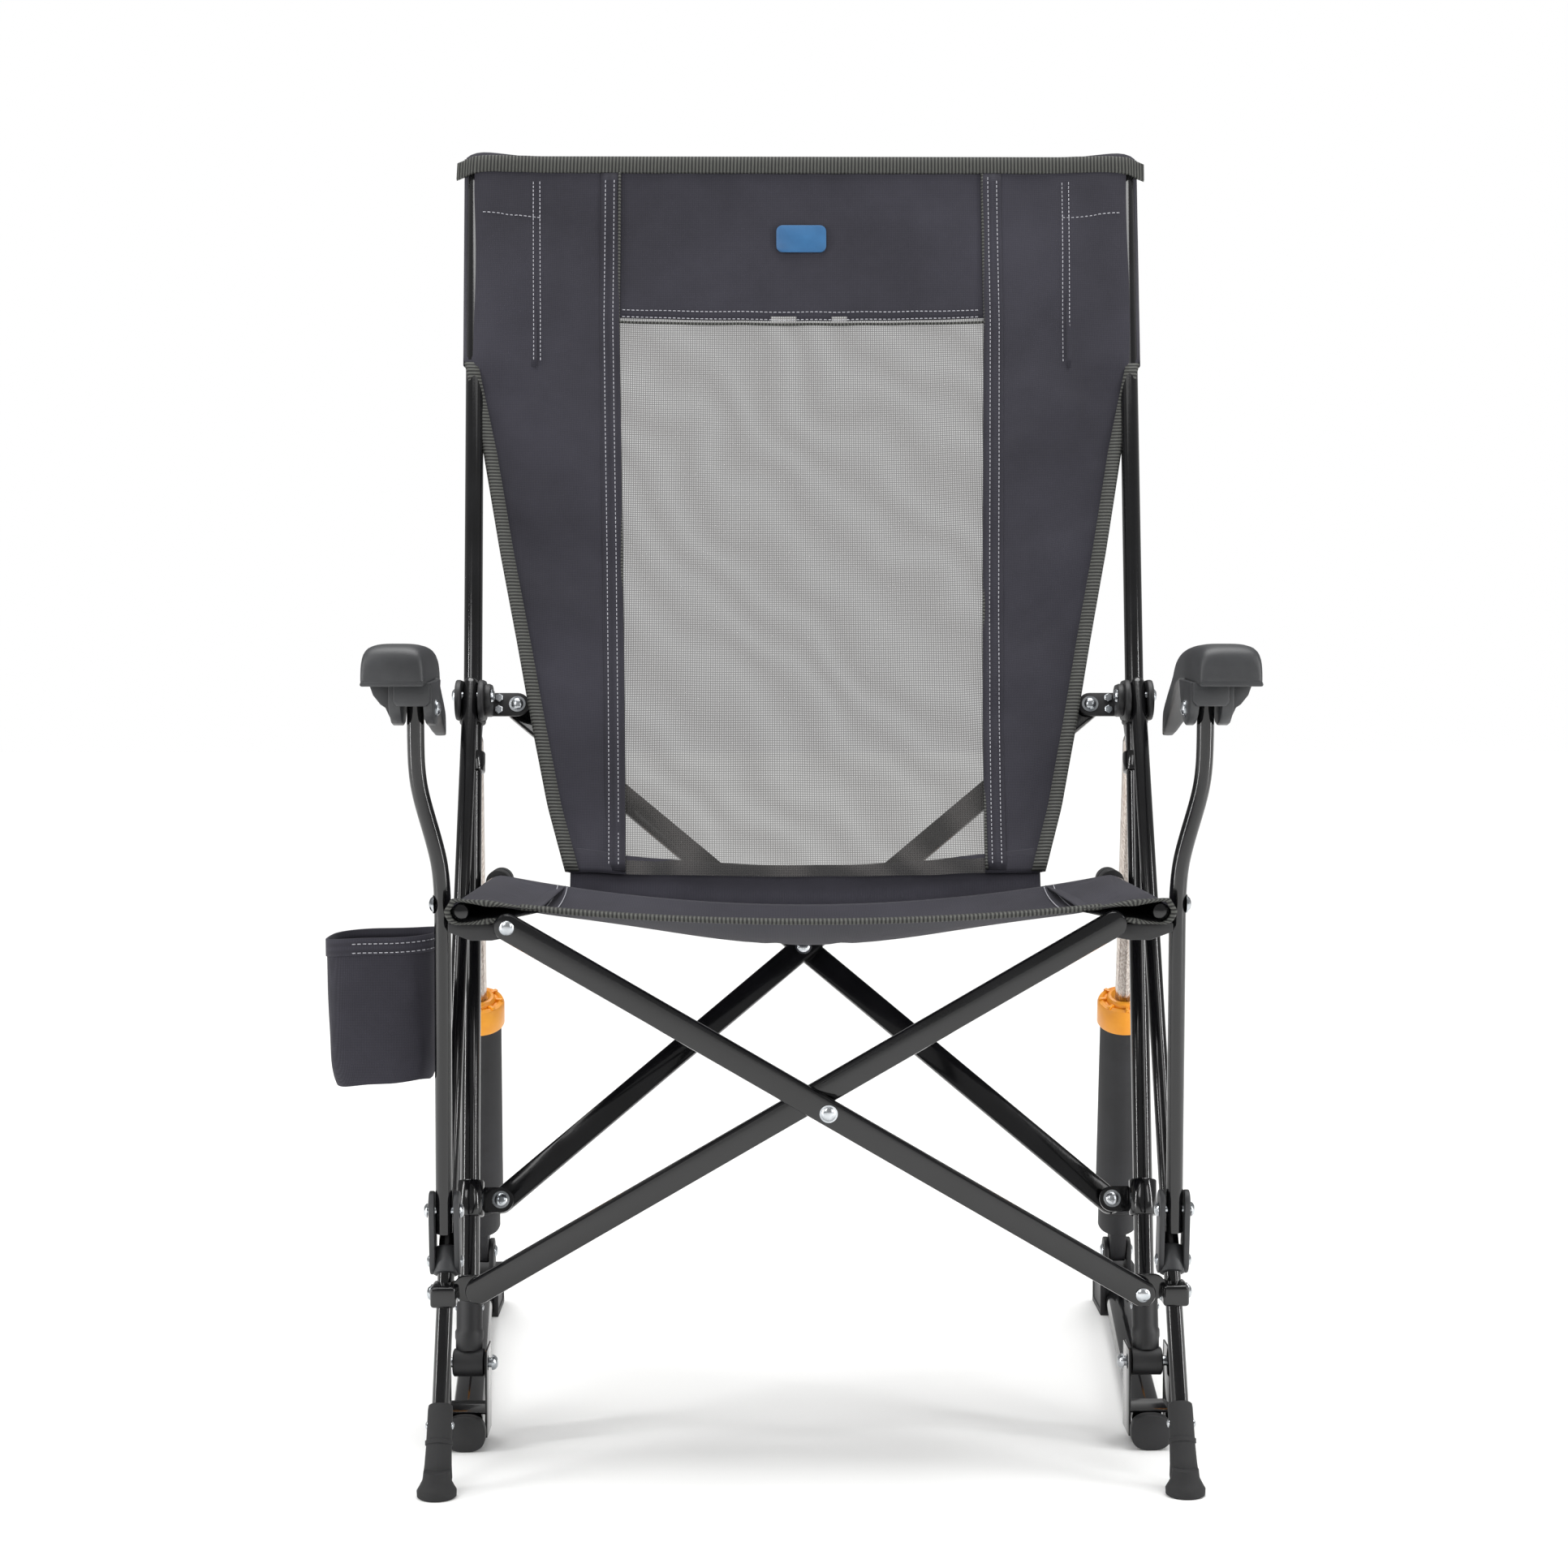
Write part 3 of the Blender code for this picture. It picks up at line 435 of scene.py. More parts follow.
def rivetHead(name, origin, towards, radius=0.0058, height=0.0030, washer=0.0):
    profile = [(0.0, radius), (height * 0.25, radius), (height * 0.7, radius * 0.78), (height, radius * 0.35),
               (height * 1.02, 0.0004)]
    if washer:
        profile = [(0.0, washer), (0.0009, washer), (0.0010, radius)] + [
            (lift + 0.0010, wide) for lift, wide in profile[1:]]
    return turned(name, origin, towards, profile, zinc, 24)


across = Vector((1, 0, 0))
tubeRadius = {"runner": 0.0125, "pole": 0.0080, "leg": 0.0066, "rail": 0.0065}


runnerSettings = {"start": 0.128, "end": 0.622, "axisHeight": 0.0145, "out": 0.2756, "splay": 0.0742}


def runnerPoint(side, depth, height=runnerSettings["axisHeight"]):
    return spot(side, runnerSettings["out"] + runnerSettings["splay"] * (depth - 0.13), depth, height)


front, rear = runnerPoint(1, runnerSettings["start"]), runnerPoint(1, runnerSettings["end"])
length = (rear - front).length
runner = turned("runner", front, rear - front,
                [(0.0, 0.0123), (0.0003, tubeRadius["runner"]), (length, tubeRadius["runner"])], powder)
bothSides(runner, "base_tube", "base", ["base_runner"])

capSettings = {"halfWidth": 0.0165, "halfHeight": 0.0145, "squareness": 0.78, "thick": 0.0108}
outline = []
for step in range(40):
    turn = 2 * math.pi * step / 40
    c, s = math.cos(turn), math.sin(turn)
    wide = math.copysign(abs(c) ** capSettings["squareness"], c)
    high = math.copysign(abs(s) ** capSettings["squareness"], s)
    outline.append(front + Vector((capSettings["halfWidth"] * wide, -0.0070,
                                   capSettings["halfHeight"] * high)))
cap = plate("cap", outline, capSettings["thick"], blackNylon, 0.0016)
bothSides(cap, "runner_plug", "base", ["runner_cap"])

bracketSettings = {"sheet": 0.0018, "inside": 0.0154, "bottom": 0.0080, "web": 0.0290, "top": 0.0780,
                   "long": 0.036}
inside, bottom, top = bracketSettings["inside"], bracketSettings["bottom"], bracketSettings["top"]
outside = inside + bracketSettings["sheet"]
webTop, webUnder = bracketSettings["web"], bracketSettings["web"] - bracketSettings["sheet"]
halfSaddle = [(outside, bottom), (outside, top), (inside, top), (inside, webTop)]
saddle = (halfSaddle + [(-wide, high) for wide, high in reversed(halfSaddle)]
          + [(-inside, bottom), (-inside, webUnder), (inside, webUnder), (inside, bottom)])
middle = spot(1, poleOut(0.065), 0.148, 0)
middle.x = (middle.x + runnerPoint(1, 0.148).x) / 2
bracket = plate("bracket", [middle + Vector((wide, 0, high)) for wide, high in saddle],
                bracketSettings["long"], powder, 0.0004)
bothSides(bracket, "rocker_saddle", "base", ["runner_bracket"])

pivot = polePoint(1, 0.065)
pin = turned("pin", pivot, across,
             bothEnds([(-0.0234, 0.0012), (-0.0230, 0.0034), (-0.0215, 0.0054), (-0.0196, 0.0062),
                       (-0.0186, 0.0062), (-0.0186, 0.0040)]), zinc, 32)
bothSides(pin, "rocker_bolt", "base", ["rock_pin"])

for height in (0.0105, 0.0225):
    rivet = rivetHead("rivet", Vector((middle.x + outside, middle.y - 0.009, height)), across, 0.0030, 0.0016)
    bothSides(rivet, "saddle_rivet_%d" % round(height * 10000), "base")

along = poleAlong(1)
poleLength = (polePoint(1, poleTop[1]) - pivot).length
pole = turned("pole", pivot, along, [(0.0500, 0.0079), (0.0503, tubeRadius["pole"]),
                                     (poleLength - 0.0010, tubeRadius["pole"]), (poleLength, 0.0074)], powder)
bothSides(pole, "back_tube", "back", ["back_pole"])

socket = turned("socket", pivot, along,
                [(0.0080, 0.0098), (0.0100, 0.0108), (0.0180, 0.0110), (0.0200, 0.0116), (0.0250, 0.0116),
                 (0.0270, 0.0106), (0.0600, 0.0106), (0.0632, 0.0096), (0.0640, 0.0086)], blackNylon)
barrel = turned("barrel", pivot, across, bothEnds([(-0.0128, 0.0096), (-0.0118, 0.0112)]), blackNylon)
bothSides(joined("socket", [socket, barrel]), "pole_neck", "back", ["pole_socket"])
for sign in (-1, 1):
    rivet = rivetHead("rivet", pivot + along * 0.044 + across * sign * 0.0104, across * sign, 0.0026, 0.0014)
    bothSides(rivet, "neck_rivet_%d" % (sign + 1), "back")

foot = legPoint(1, 0)
legLine = legAlong(1)
legLength = (legPoint(1, legTop[1]) - foot).length
leg = turned("leg", foot, legLine, [(0.0205, 0.0064), (0.0208, tubeRadius["leg"]),
                                    (legLength + 0.0105, tubeRadius["leg"]),
                                    (legLength + 0.0142, 0.0056), (legLength + 0.0160, 0.0036),
                                    (legLength + 0.0165, 0.0008)], powder)
bothSides(leg, "leg_tube", "leg", ["front_leg"])

# flared boot: a straight ribbed sleeve on the leg, then a flange that meets the floor
boot = turned("boot", foot, legLine, [(0.0110, 0.0108), (0.0150, 0.0112), (0.0240, 0.0104), (0.0385, 0.0098),
                                      (0.0390, 0.0106), (0.0420, 0.0107), (0.0425, 0.0098), (0.0660, 0.0096),
                                      (0.0690, 0.0092), (0.0700, 0.0080)], footRubber)
flange = turned("flange", foot, Vector((0, 0, 1)), [(0.0, 0.0136), (0.0012, 0.0150), (0.0055, 0.0152),
                                                    (0.0085, 0.0134), (0.0135, 0.0108), (0.0200, 0.0100)],
                footRubber)
bothSides(joined("boot", [boot, flange]), "rubber_boot", "leg", ["leg_foot"])
for sign in (-1, 1):
    rivet = rivetHead("rivet", foot + legLine * 0.054 + across * sign * 0.0093, across * sign, 0.0030, 0.0017)
    bothSides(rivet, "boot_rivet_%d" % (sign + 1), "leg")

postPath = [(0.2869, 0.0805, 0.1855), (0.2850, 0.0650, 0.3170), (0.2833, 0.0520, 0.4270),
            (0.2830, 0.0494, 0.449), (0.2838, 0.0465, 0.472), (0.2866, 0.0445, 0.4875),
            (0.2913, 0.0420, 0.506), (0.2983, 0.0390, 0.531), (0.3012, 0.0360, 0.552),
            (0.3010, 0.0330, 0.575), (0.3005, 0.0298, 0.604)]
post = bentTube("post", [spot(1, *row) for row in postPath], tubeRadius["leg"], powder)
bothSides(post, "arm_tube", "post", ["arm_post"])

railFront, railRear = spot(1, 0.2680, 0.030, 0.4425), spot(1, 0.2600, 0.300, 0.4455)
railLine = (railRear - railFront).normalized()
rail = turned("rail", railFront, railLine,
              [(0.0, 0.0012), (0.0006, 0.0050), (0.0010, 0.0062), (0.0020, tubeRadius["rail"]),
               (0.2700, tubeRadius["rail"])], powder)
bothSides(rail, "seat_tube", "rail", ["seat_rail"])
print("tubes made")


strutLow, strutHigh = spot(1, 0.3095, 0.600, 0.058), spot(1, 0.2905, 0.360, 0.580)
strutLine = (strutHigh - strutLow).normalized()
strutLength = (strutHigh - strutLow).length
sleeve = turned("sleeve", strutLow, strutLine,
                [(0.0290, 0.0160), (0.0300, 0.0180), (0.0320, 0.0188), (0.0555, 0.0188), (0.0565, 0.0206),
                 (0.0580, 0.0219), (0.2600, 0.0219), (0.2618, 0.0212)], sleeveNylon, 56)
eye = plate("eye", stadium(strutLow, strutLow + strutLine * 0.033, 0.0112, across), 0.0155, sleeveNylon,
            0.0012)
bothSides(joined("sleeve", [sleeve, eye]), "strut_barrel", "cylinder", ["strut_sleeve"])

# amber screw cap: upright wall, bevelled top, radial notches and a raised inner ring with flats
collar = turned("collar", strutLow, strutLine,
                [(0.2625, 0.0215), (0.2628, 0.0244), (0.2640, 0.0250), (0.2838, 0.0250), (0.2866, 0.0238),
                 (0.2880, 0.0205), (0.2866, 0.0190), (0.2866, 0.0170), (0.2895, 0.0162), (0.2912, 0.0150),
                 (0.2915, 0.0125), (0.2890, 0.0094)], amberNylon, 60)
notches = []
side1 = strutLine.cross(across).normalized()
side2 = strutLine.cross(side1)
for step in range(8):
    turn = 2 * math.pi * step / 8
    outward = math.cos(turn) * side1 + math.sin(turn) * side2
    start = strutLow + strutLine * 0.2878 + outward * 0.0178
    notches.append(plate("rib", stadium(start, start + outward * 0.0046, 0.0014, outward.cross(strutLine)),
                         0.0030, amberNylon, 0.0004))
bothSides(joined("collar", [collar] + notches), "strut_cap", "cylinder", ["strut_collar"])

rod = turned("rod", strutLow, strutLine,
             [(0.2402, 0.0178), (0.2406, 0.0185), (0.2460, 0.0185), (0.2465, 0.0088),
              (strutLength - 0.0200, 0.0088), (strutLength - 0.0165, 0.0080), (strutLength - 0.0150, 0.0060)],
             chrome, 48)
eye = plate("eye", stadium(strutHigh - strutLine * 0.020, strutHigh, 0.0080, across), 0.0085, chrome, 0.0010)
bothSides(joined("rod", [rod, eye]), "strut_piston_rod", "rod", ["strut_rod"])

ring = turned("ring", polePoint(1, 0.545), along,
              bothEnds([(-0.0090, 0.0090), (-0.0086, 0.0106), (-0.0078, 0.0110)]), powder)
cheekX = spot(1, 0.2905 - 0.0068, 0, 0).x
lugStart = polePoint(1, 0.545) - poleForward * 0.004
lugStart.x = cheekX
lugEnd = Vector((cheekX, strutHigh.y, strutHigh.z))
cheek = plate("cheek", stadium(lugStart, lugEnd, 0.0085, across, 0.0070), 0.0030, powder, 0.0005)
stub = turned("stub", strutHigh, across, [(-0.0068, 0.0030), (0.0055, 0.0030), (0.0062, 0.0024)], zinc, 20)
bothSides(joined("lug", [ring, cheek, stub]), "strut_ear", "back", ["strut_lug"])

bolt = turned("bolt", strutLow, across, bothEnds([(-0.0162, 0.0012), (-0.0158, 0.0034), (-0.0146, 0.0052),
                                                  (-0.0137, 0.0058), (-0.0137, 0.0030)]), zinc, 28)
bothSides(bolt, "strut_pivot_bolt", "base", ["strut_bolt"])

# rear foot: moulded block with softened edges, recessed side panel and two ears
footMiddle = Vector(((strutLow.x + runnerPoint(1, 0.600).x) / 2, strutLow.y, 0))
block = softBlock("block", footMiddle + Vector((0, 0.002, 0.0200)), (0.0390, 0.0640, 0.0400))
bpy.ops.object.mode_set(mode="EDIT")
bpy.ops.mesh.select_mode(type="FACE")
shape = bmesh.from_edit_mesh(block.data)
for face in shape.faces:
    face.select_set(abs(face.normal.z) < 0.5)
bmesh.update_edit_mesh(block.data)
bpy.ops.mesh.inset(thickness=0.0050, depth=0.0, use_individual=True)
bpy.ops.mesh.extrude_region_shrink_fatten(TRANSFORM_OT_shrink_fatten={"value": -0.0012})
bpy.ops.object.mode_set(mode="OBJECT")
settle(block, "block", blackNylon, 0)
edged(block, 0.0014, 3, 30)
ears = []
for shift in (-0.0108, 0.0108):
    outline = stadium(strutLow + Vector((shift, 0, -0.026)), strutLow + Vector((shift, 0, 0)), 0.0145, across,
                      0.0125)
    ears.append(plate("ear", outline, 0.0045, blackNylon, 0.0008))
bothSides(joined("heel", [block] + ears), "heel_block", "base", ["rear_foot"])
for height in (0.0120, 0.0270):
    rivet = rivetHead("rivet", footMiddle + Vector((-0.0060, -0.0298, height)), Vector((0, -1, 0)), 0.0042,
                      0.0016)
    bothSides(rivet, "heel_rivet_%d" % round(height * 10000), "base")
print("struts made")


barSettings = {"width": 0.0205, "thick": 0.0080, "step": 0.0095, "frontLow": (0.2578, 0.144),
               "frontHigh": (0.2308, 0.0215, 0.4330), "rearLow": (0.253, 0.190), "rearHigh": (0.250, 0.597),
               "behindPole": 0.0180}
halfPair = barSettings["step"] / 2                  # each bar of a pair stands half a step to one side
halfThick = barSettings["thick"] / 2
lowDepth = lineDepth((0, 0), legTop, barSettings["frontLow"][1]) - 0.022
highDepth, highHeight = barSettings["frontHigh"][1:]
lean = Vector((0, highDepth - lowDepth, highHeight - barSettings["frontLow"][1])).normalized()
frontNormal = -across.cross(lean)
rearNormal = -poleForward


def frontBarEnds(side, layer):
    shift = frontNormal * barSettings["step"] * layer
    return (spot(side, barSettings["frontLow"][0], lowDepth, barSettings["frontLow"][1]) + shift,
            spot(-side, *barSettings["frontHigh"]) + shift)


def rearBarPoint(side, out, height, layer):
    return (spot(side, out, lineDepth(rockPivot, poleTop, height), height)
            + rearNormal * (barSettings["behindPole"] + barSettings["step"] * layer))


def crossBar(name, start, end, normal, outward, body, node):
    bar = plate(name, stadium(start, end, barSettings["width"] / 2, normal, steps=16), barSettings["thick"],
                powder, 0.0022)
    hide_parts(node)
    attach(bar, body)
    for number, point in enumerate((start, end, (start + end) / 2)):
        washer = 0.0070 if number == 2 else 0.0
        head = rivetHead("%s_rivet_%d" % (name, number), point + outward * halfThick, outward, 0.0056, 0.0028,
                         washer)
        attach(head, body)


for side, mark, layer, facing in ((1, "a", -0.5, -1), (-1, "b", 0.5, 1)):
    start, end = frontBarEnds(side, layer)
    crossBar("front_strap_" + mark, start, end, frontNormal, frontNormal * facing, "front_bar_" + mark,
             "front_cross_bar_" + mark)
    start = rearBarPoint(-side, *barSettings["rearLow"], layer)
    end = rearBarPoint(side, *barSettings["rearHigh"], layer)
    crossBar("rear_strap_" + mark, start, end, rearNormal, rearNormal * facing, "rear_bar_" + mark,
             "rear_cross_bar_" + mark)


earSettings = {"gap": 0.0020, "thick": 0.0030, "radius": 0.0105, "root": 0.004}


def earPlate(out, height, finish):
    end = rearBarPoint(1, out, height, 0)
    start = rearBarPoint(1, poleOut(height) - earSettings["root"], height, 0)
    lift = -rearNormal * (halfPair + halfThick + earSettings["gap"])
    return plate("ear", stadium(start + lift, end + lift, earSettings["radius"], rearNormal),
                 earSettings["thick"], finish, 0.0005)


clamp = turned("clamp", polePoint(1, barSettings["rearLow"][1]), along,
               bothEnds([(-0.0150, 0.0088), (-0.0146, 0.0108), (-0.0136, 0.0115)]), powder)
bothSides(joined("clamp", [clamp, earPlate(*barSettings["rearLow"], powder)]), "rear_bar_clamp", "back",
          ["rear_bar_bracket"])
earFace = halfPair + halfThick + earSettings["gap"] + earSettings["thick"] / 2
for body, (out, height) in (("back", barSettings["rearLow"]), ("bracket", barSettings["rearHigh"])):
    head = rivetHead("rivet", rearBarPoint(1, out, height, 0) - rearNormal * earFace, -rearNormal, 0.0052,
                     0.0024, 0.0072)
    bothSides(head, "rear_ear_rivet_%d" % round(height * 1000), body)

# pole bracket: sleeve on the pole, cheeks round the leg's top, small flange with two hex bolts
legPivot = legPoint(1, legTop[1])
hubCentre = polePoint(1, legTop[1] - 0.008)
parts = [turned("hub", hubCentre, along, bothEnds([(-0.0180, 0.0092), (-0.0174, 0.0110), (-0.0164, 0.0114)]),
                blackNylon)]
for shift, thick, slim in ((0.0098, 0.0050, 0.0), (-0.0098, 0.0050, 0.0), (-0.0148, 0.0060, 0.0035)):
    start = legPivot + Vector((shift, 0.002 + slim, -0.004))
    end = Vector((start.x, hubCentre.y, hubCentre.z + 0.003))
    parts.append(plate("cheek", stadium(start, end, 0.0175 - slim, across), thick, blackNylon, 0.0014))
parts.append(earPlate(*barSettings["rearHigh"], blackNylon))
bothSides(joined("hub", parts), "pole_slider", "bracket", ["pole_bracket"])
for number, rise in enumerate((-0.0050, 0.0050)):
    head = turned("hex", rearBarPoint(1, 0.2660, barSettings["rearHigh"][1] + rise, 0) - rearNormal * earFace,
                  -rearNormal, [(0.0, 0.0034), (0.0003, 0.0038), (0.0022, 0.0038), (0.0026, 0.0032)], zinc, 6)
    bothSides(head, "flange_bolt_%d" % number, "bracket")
bolt = turned("bolt", legPivot - across * 0.0028, across,
              bothEnds([(-0.0186, 0.0010), (-0.0182, 0.0036), (-0.0170, 0.0052), (-0.0156, 0.0058),
                        (-0.0156, 0.0030)]), zinc, 28)
bothSides(bolt, "leg_pivot_bolt", "leg", ["leg_bolt"])

# yoke at the leg with its ear and rivets
knuckle = legPoint(1, 0.1395)
yoke = softBlock("yoke", knuckle + Vector((0, -0.00465, 0)), (0.0204, 0.0263, 0.0170))
settle(yoke, "yoke", powder, 0)
edged(yoke, 0.0030, 4, 30)
earLow = frontBarEnds(1, 0)[0]
lift = frontNormal * (halfPair + halfThick + 0.0021)
earRoot = Vector((knuckle.x - 0.0177, earLow.y, earLow.z))
outline = stadium(earRoot + lift, earLow + lift, earSettings["radius"], frontNormal)
parts = [yoke, plate("ear", outline, 0.0032, powder, 0.0005)]
for sign in (-1, 1):
    parts.append(rivetHead("rivet", knuckle + across * sign * 0.0100, across * sign, 0.0056, 0.0034, 0.0068))
bothSides(joined("yoke", parts), "leg_yoke", "knuckle", ["leg_knuckle"])

# forked slider on the leg that carries the arm tube's foot
sliderPin = spot(1, 0.2866, 0.0781, 0.2035)
collarCentre = legPoint(1, 0.2035 - 0.0415)
parts = [turned("runner", collarCentre, legLine,
                bothEnds([(-0.0110, 0.0086), (-0.0104, 0.0098), (-0.0092, 0.0102)]), armNylon)]
for shift in (-0.0098, 0.0098):
    earX = (sliderPin.x + collarCentre.x) / 2 + shift
    start = Vector((earX, collarCentre.y, collarCentre.z))
    end = Vector((earX, sliderPin.y, sliderPin.z + 0.006))
    parts.append(plate("fork", stadium(start, end, 0.0105, across, 0.0095), 0.0044, armNylon, 0.0009))
bothSides(joined("fork", parts), "leg_runner", "slider", ["leg_slider"])
bolt = turned("bolt", sliderPin, across,
              bothEnds([(-0.0158, 0.0010), (-0.0154, 0.0036), (-0.0142, 0.0052), (-0.0130, 0.0058),
                        (-0.0130, 0.0030)]), zinc, 28)
bothSides(bolt, "arm_tube_bolt", "slider", ["slider_bolt"])
for sign in (-1, 1):
    head = rivetHead("rivet", Vector((sliderPin.x + sign * 0.0120, *collarCentre[1:])), across * sign, 0.0048,
                     0.0026)
    bothSides(head, "runner_rivet_%d" % (sign + 1), "slider")

railBolt = rivetHead("rivet", spot(1, 0.2830 + 0.0064, 0.0494, 0.4470), across, 0.0056, 0.0030, 0.0072)
bothSides(railBolt, "rail_pivot_bolt", "post")
outline = [(0.2772, 0.4335), (0.2772, 0.4270), (0.2600, 0.4205), (0.2440, 0.4205), (0.2250, 0.4240),
           (0.2215, 0.4300), (0.2240, 0.4335)]
clip = plate("clip", [spot(1, out, 0.0375, height) for out, height in outline], 0.0110, blackNylon, 0.0010)
bothSides(clip, "rail_bracket", "post", ["front_clip"])
clip = turned("clip", railRear - railLine * 0.0160, railLine,
              [(-0.0150, 0.0080), (-0.0146, 0.0100), (-0.0136, 0.0105), (-0.0050, 0.0105), (-0.0046, 0.0098),
               (0.0040, 0.0098), (0.0044, 0.0105), (0.0136, 0.0105), (0.0146, 0.0100), (0.0150, 0.0080)],
              blackNylon)
bothSides(clip, "rail_end_clip", "rail", ["rear_clip"])
print("bars and fittings made")


armSettings = {"rows": [(-0.0114, 0.2935, 0.3325, 0.6190, 0.6290), (-0.0108, 0.2905, 0.3358, 0.6158, 0.6360),
                        (-0.0080, 0.2892, 0.3370, 0.6150, 0.6420), (-0.0020, 0.2885, 0.3380, 0.6147, 0.6457),
                        (0.0150, 0.2880, 0.3385, 0.6150, 0.6475), (0.0600, 0.2885, 0.3385, 0.6185, 0.6470),
                        (0.1200, 0.2930, 0.3385, 0.6190, 0.6440), (0.1800, 0.2985, 0.3370, 0.6130, 0.6380),
                        (0.2300, 0.3050, 0.3325, 0.6020, 0.6280), (0.2700, 0.3076, 0.3260, 0.5880, 0.6150),
                        (0.3000, 0.3080, 0.3190, 0.5700, 0.5990), (0.3140, 0.3080, 0.3165, 0.5660, 0.5880)],
               "section": [(-0.90, 0.0), (0.0, 0.0), (0.90, 0.0), (0.99, 0.05), (1.0, 0.16), (0.995, 0.36),
                           (0.98, 0.60), (0.92, 0.80), (0.80, 0.92), (0.58, 0.98), (0.30, 1.0), (0.0, 1.0),
                           (-0.30, 1.0), (-0.58, 0.98), (-0.80, 0.92), (-0.92, 0.80), (-0.98, 0.60),
                           (-0.995, 0.36), (-1.0, 0.16), (-0.99, 0.05)]}
shape = bmesh.new()
loops = []
for depth, inner, outer, low, high in armSettings["rows"]:
    mid, half = (inner + outer) / 2, (outer - inner) / 2
    loops.append([shape.verts.new(spot(1, mid + half * a, depth, low + (high - low) * b))
                  for a, b in armSettings["section"]])
for one, two in zip(loops, loops[1:]):
    for step in range(len(one)):
        shape.faces.new((one[step], one[(step + 1) % len(one)], two[(step + 1) % len(one)], two[step]))
shape.faces.new(loops[0][::-1])
shape.faces.new(loops[-1])
arm = shaped("arm", shape)
settle(arm, "arm", armNylon, 0)
arm.modifiers.new("round", "SUBSURF").levels = 1
arm.modifiers["round"].render_levels = 1
bpy.ops.object.modifier_apply(modifier="round")
bpy.ops.object.shade_smooth_by_angle(angle=math.radians(50))

parts = [arm]
holderOutline = [(0.0045, 0.6180), (0.0045, 0.6000), (0.0100, 0.5930), (0.0200, 0.5870), (0.0300, 0.5850),
                 (0.0400, 0.5870), (0.0460, 0.5950), (0.0560, 0.6060), (0.0640, 0.6200)]
for low, high in ((0.2850, 0.2920), (0.3090, 0.3180)):
    parts.append(plate("cheek", [spot(1, (low + high) / 2, depth, height) for depth, height in holderOutline],
                       high - low, armNylon, 0.0012))
web = [(0.2860, 0.6035), (0.2890, 0.6000), (0.3115, 0.6000), (0.3140, 0.6035), (0.3140, 0.6180),
       (0.2860, 0.6180)]
parts.append(plate("web", [spot(1, out, 0.0060, height) for out, height in web], 0.0110, armNylon, 0.0018))
rib = [(0.3350, 0.6170), (0.3318, 0.6080), (0.3262, 0.6010), (0.3225, 0.5985), (0.3195, 0.5920),
       (0.3160, 0.5870), (0.3130, 0.5870), (0.3130, 0.6170)]
parts.append(plate("rib", [spot(1, out, 0.0240, height) for out, height in rib], 0.0040, armNylon, 0.0010))
lip = [(0.2905, 0.6150), (0.3362, 0.6150), (0.3372, 0.6162), (0.3362, 0.6190), (0.2905, 0.6190),
       (0.2894, 0.6162)]
parts.append(plate("lip", [spot(1, out, -0.0098, height) for out, height in lip], 0.0034, armNylon, 0.0007))
bothSides(joined("arm", parts), "arm_pad", "arm", ["armrest"])
for number, (out, sign) in enumerate(((0.2850, -1), (0.3180, 1))):
    head = rivetHead("rivet", spot(1, out, 0.0300, 0.5980), across * sign, 0.0052, 0.0028, 0.0068)
    bothSides(head, "arm_bolt_%d" % number, "arm")
print("armrests made")


def tableValue(rows, key):
    if key <= rows[0][0]:
        return rows[0][1]
    for (a, b), (c, d) in zip(rows, rows[1:]):
        if key <= c:
            return b + (d - b) * (key - a) / (c - a)
    return rows[-1][1]


def clothGrid(name, columns, rows, place, finish):
    # a grid of cloth with its UV in metres along the cut
    clearSelection()
    bpy.ops.mesh.primitive_grid_add(x_subdivisions=columns, y_subdivisions=rows, size=2)
    piece = bpy.context.object
    piece.name = piece.data.name = name
    flat = piece.data.uv_layers.active or piece.data.uv_layers.new(name="UVMap")
    spots = {}
    for vertex in piece.data.vertices:
        u, v = vertex.co.x, vertex.co.y
        spots[vertex.index] = (u, v)
        vertex.co = place(u, v)
    for loop in piece.data.loops:
        point = piece.data.vertices[loop.vertex_index].co
        along = (point.z if abs(point.z - 0.445) > 0.03 or name.startswith("back") else point.y)
        flat.data[loop.index].uv = (point.x, along)
    piece.data.materials.clear()
    piece.data.materials.append(finish)
    for face in piece.data.polygons:
        face.use_smooth = True
    return piece, spots


def drape(piece, pinned, frames, settings):
    # hangs the sheet from its pinned edges and keeps the result
    group = piece.vertex_groups.new(name="pinned")
    for index, weight in pinned.items():
        group.add([index], weight, "REPLACE")
    pick(piece)
    hang = piece.modifiers.new("hang", "CLOTH")
    hang.settings.vertex_group_mass = "pinned"
    hang.settings.quality = settings["quality"]
    hang.settings.mass = settings["mass"]
    hang.settings.tension_stiffness = hang.settings.compression_stiffness = settings["tension"]
    hang.settings.shear_stiffness = settings["shear"]
    hang.settings.bending_stiffness = settings["bending"]
    hang.settings.air_damping = 4.0
    hang.settings.shrink_min = settings["slack"]
    hang.collision_settings.use_collision = False
    hang.point_cache.frame_start, hang.point_cache.frame_end = 1, frames
    scene = bpy.context.scene
    for step in range(1, frames + 1):
        scene.frame_set(step)
    bpy.ops.object.modifier_apply(modifier="hang")
    scene.frame_set(1)
    piece.vertex_groups.clear()


def subdivided(piece, levels=1):
    pick(piece)
    fine = piece.modifiers.new("fine", "SUBSURF")
    fine.levels = fine.render_levels = levels
    bpy.ops.object.modifier_apply(modifier="fine")


def thickened(piece, thickness):
    pick(piece)
    wall = piece.modifiers.new("wall", "SOLIDIFY")
    wall.thickness, wall.offset = thickness, 0
    bpy.ops.object.modifier_apply(modifier="wall")


